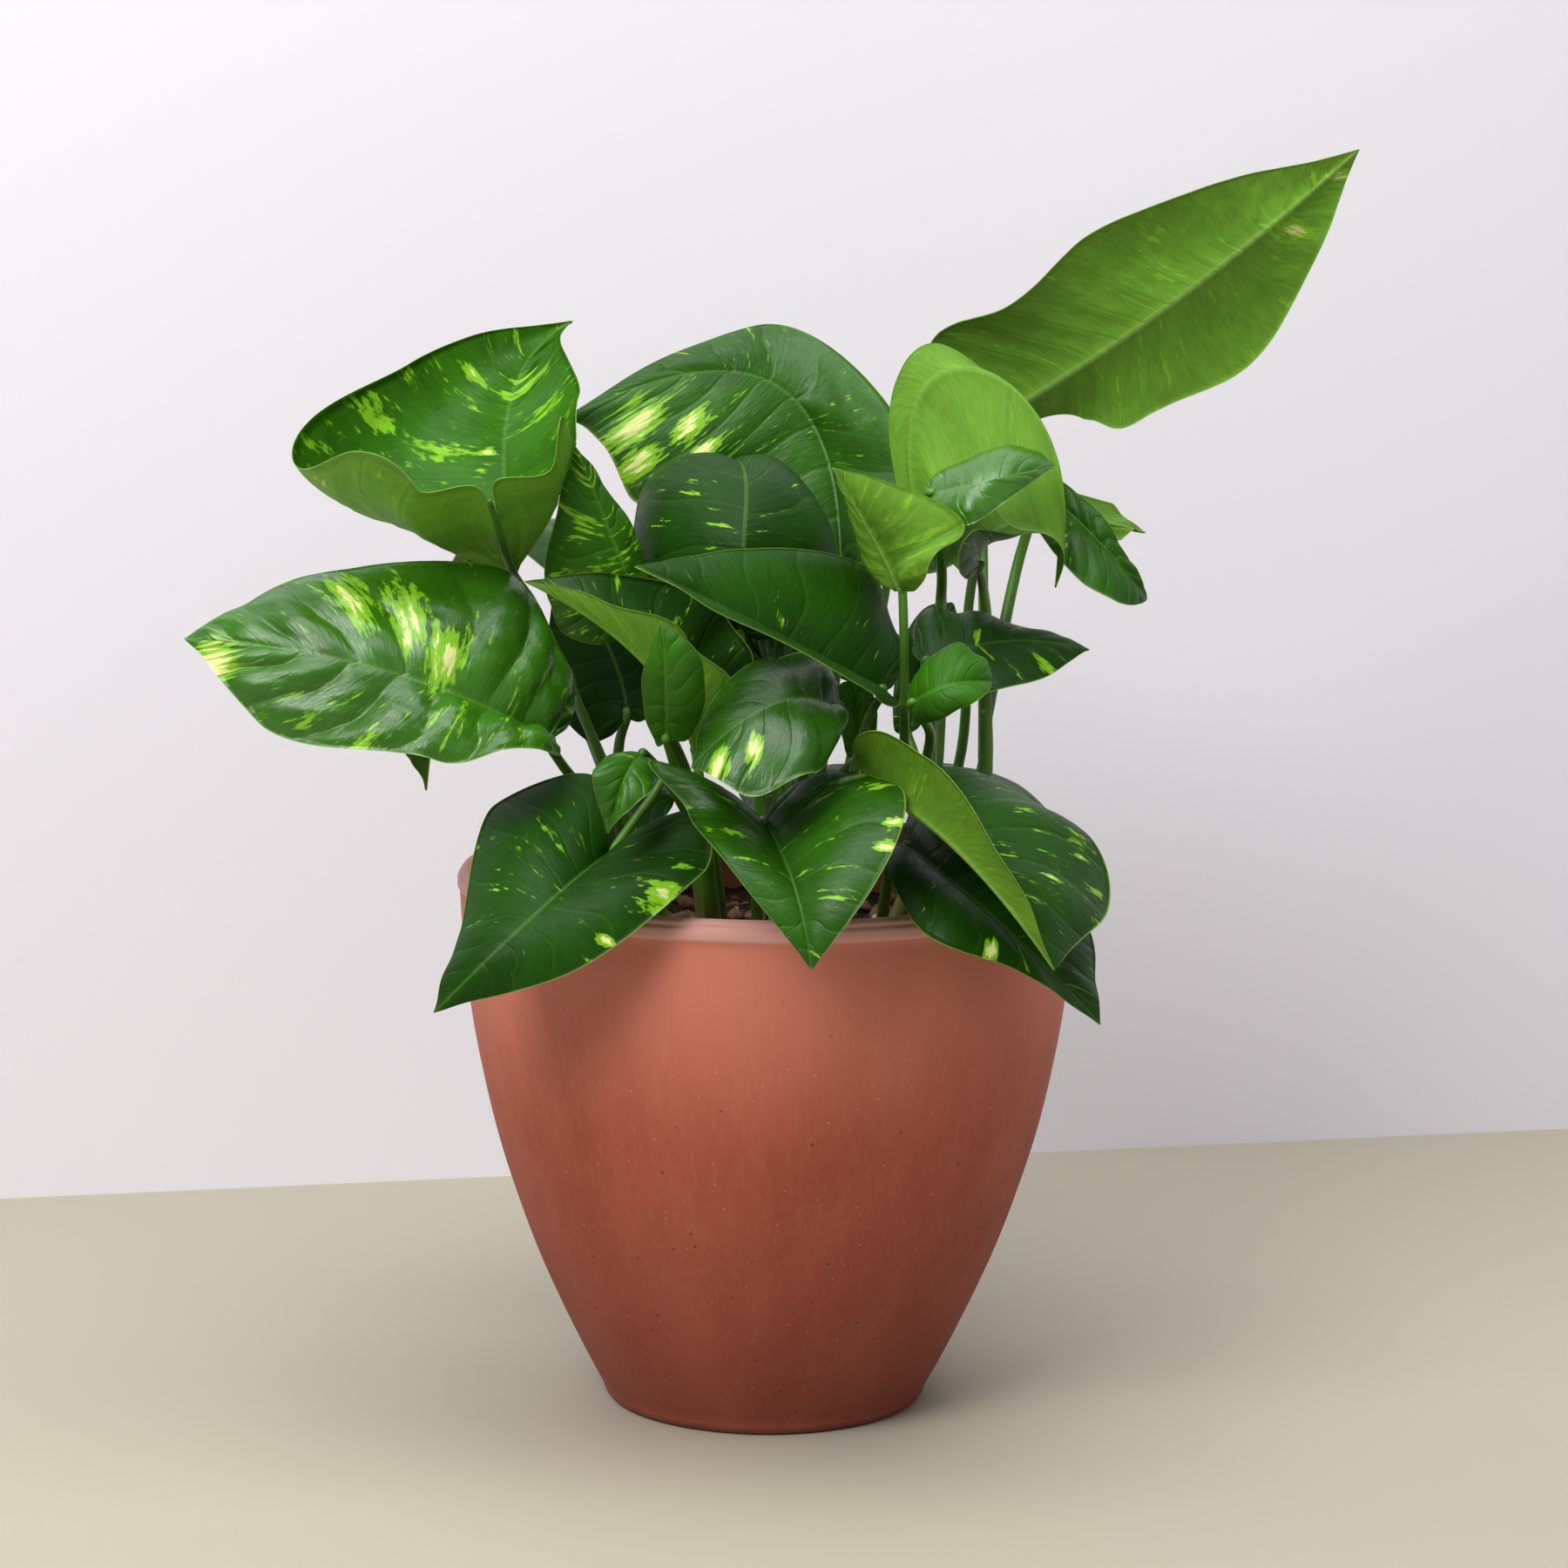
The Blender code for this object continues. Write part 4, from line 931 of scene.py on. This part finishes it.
leafColours = {
    "deep": "#153C06", "fresh": "#43880E", "paleGreen": "#8CCB28", "cream": "#EDF0A0",
    "vein": "#6FA044", "rim": "#A4C85A", "backDeep": "#5C8420", "backPale": "#78B238", "backVein": "#3F7A2A",
    "backRib": "#A3C76A",
}


def bladeMaterial(name, look, seed):
    # living pothos leaf: waxy skin over green flesh, so a clear soft gloss over a mottled green,
    # with cream and lime marbling that runs along the side veins, a pale midrib and rim, and a
    # duller, yellower back whose veins stand up
    material, tree, shader = newMaterial("pothosLeaf_" + name)
    place = addNode(tree, "ShaderNodeAttribute", attribute_name="bladePlace").outputs["Vector"]
    mark = addNode(tree, "ShaderNodeAttribute", attribute_name="bladeMark").outputs["Vector"]
    _, away, out = addNode(tree, "ShaderNodeSeparateXYZ", {"Vector": place}).outputs
    phase, patch, back = addNode(tree, "ShaderNodeSeparateXYZ", {"Vector": mark}).outputs

    # noise on leaf millimetres: the first two numbers are 1 / the size of a blotch along the
    # midrib and out from it, then detail, shift and roughness. Marbling streaks are 3 to 5 mm
    # wide and 15 mm long, broken by flecks under 1 mm; mottle is the flesh between fine veins
    grains = {
        "streak": (0.50, 0.060, 4.0, 0.0, 0.62),
        "fleck": (1.5, 0.40, 2.0, 5.0, 0.55),
        "broad": (0.06, 0.05, 2.0, 9.0, 0.55),
        "mottle": (0.9, 0.22, 4.0, 27.0, 0.7),
        "wax": (0.9, 0.9, 3.0, 13.0, 0.55),
        "pores": (3.2, 3.2, 2.0, 17.0, 0.55),
        "creases": (1.1, 0.28, 3.0, 21.0, 0.55),
    }
    grain = {}
    for kind, (alongScale, awayScale, detail, shift, rough) in grains.items():
        sizes = {0: place, 1: (alongScale, awayScale, 0.0), 2: (0.0, 0.0, seed * 1.7 + shift)}
        vector = addNode(tree, "ShaderNodeVectorMath", sizes, operation="MULTIPLY_ADD").outputs[0]
        settings = {"Scale": 1.0, "Detail": detail, "Roughness": rough}
        made = addNode(tree, "ShaderNodeTexNoise", {"Vector": vector}, **settings)
        grain[kind] = made.outputs["Fac"]

    # marble = 0.42 patch + 1.2 streak + 0.5 fleck + a share that grows with the leaf's flecks
    marble = 0.24 * look["flecks"] - 0.12 - 0.35
    for source, weight in ((grain["fleck"], 0.5), (grain["streak"], 1.2), (patch, 0.42)):
        terms = {0: source, 1: weight, 2: marble}
        marble = addNode(tree, "ShaderNodeMath", terms, operation="MULTIPLY_ADD").outputs[0]
    toVein = addNode(tree, "ShaderNodeMath", {0: phase, 1: 0.5}, operation="PINGPONG").outputs[0]
    toRib = addNode(tree, "ShaderNodeMath", {0: away}, operation="ABSOLUTE").outputs[0]
    tint = {part: colour(code) for part, code in leafColours.items()}

    # the upper face: clouded green, faint side veins, lime and cream marbling, pale midrib
    tone = look["tone"]
    body = tuple(d * (1 - tone) + f * tone for d, f in zip(tint["deep"], tint["fresh"]))
    upper = layCoats(tree, (*[v * 0.72 for v in body[:3]], 1.0), [
        (grain["broad"], 0.35, 0.65, 0.0, 1.0, body),
        (toVein, 0.04, 0.0, 0.0, 0.07, tint["vein"]),
        (marble, 0.64, 0.76, 0.0, 0.85, tint["paleGreen"]),
        (marble, 0.86, 1.0, 0.0, 1.0, tint["cream"]),
        (toRib, 0.5, 0.2, 0.0, 0.22, tint["vein"]),
    ])
    # the back: duller and yellower, the marbling only half showing, a broad pale rib
    tone = look["back"]
    body = tuple(d * (1 - tone) + f * tone for d, f in zip(tint["backDeep"], tint["backPale"]))
    lower = layCoats(tree, body, [
        (grain["broad"], 0.3, 0.7, 0.0, 1.0, (*[v * 0.82 for v in body[:3]], 1.0)),
        (toVein, 0.07, 0.0, 0.0, 0.16, tint["backVein"]),
        (marble, 0.64, 0.76, 0.0, 0.45, tint["paleGreen"]),
        (marble, 0.86, 1.0, 0.0, 0.7, tint["cream"]),
        (toRib, 0.9, 0.4, 0.0, 0.6 * look["ridge"], tint["backRib"]),
    ])
    skin = addNode(tree, "ShaderNodeMix", {"Factor": back, "A": upper, "B": lower}, data_type="RGBA")
    limits = {"Value": grain["mottle"], "From Min": 0.30, "From Max": 0.70, "To Min": 0.0, "To Max": 0.5}
    share = addNode(tree, "ShaderNodeMapRange", limits, interpolation_type="SMOOTHSTEP")
    layers = {"Factor": share.outputs[0], "A": skin.outputs["Result"], "B": (0.55, 0.62, 0.45, 1.0)}
    shade = addNode(tree, "ShaderNodeMix", layers, data_type="RGBA", blend_type="MULTIPLY")
    skin = layCoats(tree, shade.outputs["Result"], [(out, 0.98, 0.997, 0.0, 0.4, tint["rim"])])
    tree.links.new(skin, shader.inputs["Base Color"])

    # roughness falls with the leaf's gloss, varies with the wax and is 0.16 higher on the back
    gloss = 0.52 - 0.26 * look["gloss"]
    limits = {"Value": grain["wax"], "From Min": 0.3, "From Max": 0.7}
    limits.update({"To Min": gloss - 0.05, "To Max": gloss + 0.07})
    wax = addNode(tree, "ShaderNodeMapRange", limits, interpolation_type="SMOOTHSTEP")
    rough = addNode(tree, "ShaderNodeMath", {0: back, 1: 0.16, 2: wax.outputs[0]}, operation="MULTIPLY_ADD")
    tree.links.new(rough.outputs[0], shader.inputs["Roughness"])
    shader.inputs["Specular IOR Level"].default_value = 0.04 + 0.5 * look["gloss"] ** 2
    terms = {0: grain["pores"], 1: 0.25, 2: grain["creases"]}
    rise = addNode(tree, "ShaderNodeMath", terms, operation="MULTIPLY_ADD")
    bump = addNode(tree, "ShaderNodeBump", {"Height": rise.outputs[0]}, Strength=0.45, Distance=0.00035)
    limits = {"Value": toVein, "From Min": 0.0, "From Max": 0.10}
    groove = addNode(tree, "ShaderNodeMapRange", limits, interpolation_type="SMOOTHSTEP")
    relief = {"Height": groove.outputs[0], "Normal": bump.outputs[0]}
    veinBump = addNode(tree, "ShaderNodeBump", relief, Strength=0.35, Distance=0.0003)
    tree.links.new(veinBump.outputs[0], shader.inputs["Normal"])
    return material


for order, (name, leaf) in enumerate(bladeShapes.items()):
    look = {**plainLook, **bladeLooks.get(name, {})}
    blade = bladePiece("blade_" + name, leaf, look, bladeMaterial(name, look, order + 1))
    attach(blade, "root")
    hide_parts("leaf_" + name)
print("leaves ready")


stalkPaths = {
    "upper_left": [(-24, -6, 115), (-34, -14, 145), (-48, -22, 180), (-55, -23, 196)],
    "top_centre": [(8, 5, 115), (12, 1, 150), (17, -2, 187)],
    "triangle": [(-14, -18, 115), (-20, -22, 150), (-27, -34, 178)],
    "centre_long": [(14, -30, 115), (17, -38, 145), (22, -50, 172)],
    "funnel": [(26, -28, 115), (29, -33, 140), (31, -44, 160), (31, -56, 180)],
    "pale_back": [(30, -4, 115), (40, -2, 150), (41, -4, 195), (39, -22, 210)],
    "top_right": [(30, 8, 115), (46, 8, 155), (48, 8, 195), (54, 12, 225)],
    "front_left": [(-10, -26, 115), (-14, -34, 145), (-22, -43, 160), (-28, -48, 154)],
    "front_centre": [(-2, -28, 115), (-3, -34, 140), (-1, -54, 151)],
    "front_right_fold": [(18, -38, 115), (20, -44, 135), (21, -52, 152)],
    "front_right_low": [(36, -24, 115), (37, -31, 130), (34, -41, 142)],
    "back_high": [(-2, 14, 115), (-3, 18, 150), (-5, 30, 185)],
    "back_left_high": [(-16, 10, 115), (-22, 16, 150), (-32, 27, 180)],
    "back_right_high": [(12, 16, 115), (20, 20, 155), (27, 28, 188)],
}

vinePaths = {
    "left": dict(
        stem=[(-30, 0, 115), (-34, -1, 135), (-38, -5, 151)],
        stalks={"left_long": [(-37, -4, 147), (-45, -20, 154), (-50, -42, 165)],
                "left_behind": [(-36, -3, 144), (-44, 16, 160), (-54, 26, 181)],
                "left_shade": [(-37, -5, 149), (-36, -6, 162)]}),
    "front": dict(
        stem=[(-12, -30, 115), (-14, -36, 135), (-16, -42, 150)],
        stalks={"taco": [(-15, -40, 146), (-16, -41, 158)],
                "small_front": [(-15, -40, 147), (-19, -50, 162), (-22, -66, 172)],
                "small_folded": [(-15, -39, 143), (-22, -50, 158)]}),
    "centre": dict(
        stem=[(2, -14, 115), (3, -18, 135), (4, -22, 150)],
        stalks={"centre_dome": [(4, -21, 146), (-3, -23, 170)],
                "small_behind": [(3, -19, 140), (12, -30, 154)],
                "glossy_behind": [(4, -21, 148), (4, -18, 162)],
                "kidney": [(4, -20, 143), (10, -38, 165)]}),
    "right": dict(
        stem=[(36, -10, 115), (38, -12, 140), (38, -16, 155)],
        stalks={"right_mid": [(38, -15, 150), (38, -30, 172)],
                "small_round": [(38, -14, 148), (37, -34, 162), (37, -54, 172), (34, -65, 178)],
                "glossy_small": [(38, -15, 152), (40, -12, 190), (40, -26, 208), (36, -46, 224)],
                "right_shade": [(38, -13, 145), (36, -6, 156)]}),
    "right_top": dict(
        stem=[(40, 2, 115), (48, 0, 140), (52, 0, 155), (52, -2, 170)],
        stalks={"right_under": [(52, -1, 165), (52, -2, 190), (50, -16, 203)],
                "right_droop": [(52, -2, 168), (60, 26, 200), (66, 24, 224), (62, 8, 233), (58, -5, 229)],
                "small_tip_back": [(52, 0, 158), (52, 18, 190), (52, 31, 214)]}),
    "back": dict(
        stem=[(0, 34, 115), (0, 38, 128), (0, 40, 142)],
        stalks={"back_left_mid": [(0, 40, 139), (-8, 42, 158)],
                "back_centre_mid": [(0, 40, 138), (6, 41, 162)],
                "back_right_mid": [(0, 39, 133), (12, 35, 139), (26, 36, 142)],
                "back_left_low": [(0, 36, 122), (-12, 42, 132)],
                "back_right_low": [(0, 37, 124), (6, 46, 131)]}),
}

stalkShape = {
    "radius": 1.3, "vineRadius": 1.9, "sides": 14, "steps": 60, "flute": 0.12,
    "buried": 6,        # mm of stalk below the top of the soil
    "under": 2.0,       # mm run on under the midrib
    "spine": [(-62.0, -44.0, 215.0), (-63.6, -59.0, 225.0)],
    "taper": [1.25, 1.1, 1.0, 0.95, 0.9, 0.85, 0.8, 0.8, 0.75, 0.4],       # share of the radius, foot to leaf
    "footTaper": [1.7, 1.45, 1.15, 1.0, 0.95, 0.9, 0.85, 0.8, 0.8, 0.75, 0.4],
}
stalkLook = {"green": "#4F8420", "greenDeep": "#3A6214", "foot": "#8A7A48", "spot": "#6E4A2C"}


def tubeAlong(path, radii, sides, steps, flute=0.0):
    # a round bar along a smooth path: each ring = centre + r (side cos a + other sin a);
    # the side vector is carried from ring to ring, and a flute presses a groove into one side
    share = np.linspace(0, 1, steps + 1)
    line = spline(path, share)
    radius = np.interp(share, np.linspace(0, 1, len(radii)), radii)
    ahead = unit(np.gradient(line, axis=0))
    side = np.cross(ahead[0], (0.0, 1.0, 0.0))
    sideVectors = []
    for step in ahead:
        side = unit(side - (side @ step) * step)
        sideVectors.append(side)
    across = np.array(sideVectors)
    other = np.cross(ahead, across)
    angle = np.linspace(0, 2 * np.pi, sides, endpoint=False)
    press = 1 - flute * np.exp(-((angle - np.pi / 2) / 0.5) ** 2)
    ring = across[:, None] * np.cos(angle)[:, None] + other[:, None] * np.sin(angle)[:, None]
    body = (line[:, None] + ring * (radius[:, None] * press[None])[..., None]).reshape(-1, 3)
    points = np.vstack([body, line[0], line[-1] + ahead[-1] * radius[-1] * 0.4])
    i, j = np.meshgrid(np.arange(steps), np.arange(sides), indexing="ij")
    a = i * sides + j
    b = i * sides + (j + 1) % sides
    quads = np.stack([a, b, b + sides, a + sides], -1).reshape(-1, 4).tolist()
    k = np.arange(sides)
    n = (k + 1) % sides
    low = np.stack([n, k, 0 * k + len(body)], -1).tolist()
    high = np.stack([steps * sides + k, steps * sides + n, 0 * k + len(body) + 1], -1).tolist()
    return points, quads + low + high


def stalkMaterial(look):
    # smooth green stalk: waxy, with fine lengthwise ribs, brown flecks, and corky brown by the soil
    material, tree, shader = newMaterial("pothosStalk")
    place = addNode(tree, "ShaderNodeTexCoord").outputs["Object"]
    height = addNode(tree, "ShaderNodeSeparateXYZ", {"Vector": place}).outputs["Z"]
    tall = addNode(tree, "ShaderNodeMapping", {"Vector": place}, Scale=(1.0, 1.0, 0.08))
    ribs = addNode(tree, "ShaderNodeTexNoise", {"Vector": tall.outputs[0]}, Scale=1100.0, Detail=2.0)
    cloud = addNode(tree, "ShaderNodeTexNoise", {"Vector": place}, Scale=60.0, Detail=3.0)
    spots = addNode(tree, "ShaderNodeTexVoronoi", {"Vector": tall.outputs[0]}, Scale=260.0)
    tone = layCoats(tree, colour(look["green"]), [
        (cloud.outputs["Fac"], 0.35, 0.65, 0.0, 1.0, colour(look["greenDeep"])),
        (spots.outputs["Distance"], 0.14, 0.06, 0.0, 0.5, colour(look["spot"])),
        (height, 0.135, 0.114, 0.0, 0.75, colour(look["foot"])),
    ])
    tree.links.new(tone, shader.inputs["Base Color"])
    shader.inputs["Roughness"].default_value = 0.42
    bump = addNode(tree, "ShaderNodeBump", {"Height": ribs.outputs["Fac"]}, Strength=0.35, Distance=0.0002)
    tree.links.new(bump.outputs[0], shader.inputs["Normal"])
    return material


def stalkPath(leaf, points):
    # the given points, then on into the leaf's base and a little way under its midrib;
    # the upper left leaf's stalk shows between its two lobes, up to its notch
    rib = np.array(bladeShapes[leaf]["rib"], float)
    path = [np.array(p, float) for p in points]
    if leaf == "upper_left":
        return path + [rib[0] - (0, 2, 0)] + [np.array(p) for p in stalkShape["spine"]]
    return path + [rib[0], rib[0] + unit(rib[1] - rib[0]) * stalkShape["under"]]


def joinParts(parts):
    # several point and face lists as one
    points, faces, start = [], [], 0
    for p, f in parts:
        points.append(p)
        faces += [tuple(k + start for k in face) for face in f]
        start += len(p)
    return np.vstack(points), faces


green = stalkMaterial(stalkLook)
s = stalkShape
for name, points in stalkPaths.items():
    path = stalkPath(name, [(points[0][0], points[0][1], points[0][2] - s["buried"])] + list(points))
    radii = np.array(s["footTaper"]) * s["radius"]
    stalk = addMesh("stem_" + name, *tubeAlong(path, radii, s["sides"], s["steps"], s["flute"]), green)
    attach(stalk, "root")
    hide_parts("stalk_" + name)
for name, vine in vinePaths.items():
    foot = vine["stem"][0]
    stem = [(foot[0], foot[1], foot[2] - s["buried"])] + list(vine["stem"])
    knots = s["vineRadius"] * (1.0 + 0.14 * np.maximum(0, np.sin(np.linspace(0, 19, 60))) ** 6)
    parts = [tubeAlong(stem, knots * np.linspace(1.25, 0.85, 60), s["sides"], s["steps"])]
    for leaf, points in vine["stalks"].items():
        radii = np.array(s["taper"]) * s["radius"]
        parts.append(tubeAlong(stalkPath(leaf, points), radii, s["sides"], s["steps"], s["flute"]))
    runner = addMesh("runner_" + name, *joinParts(parts), green)
    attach(runner, "root")
    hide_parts("vine_" + name)
print("stalks ready")
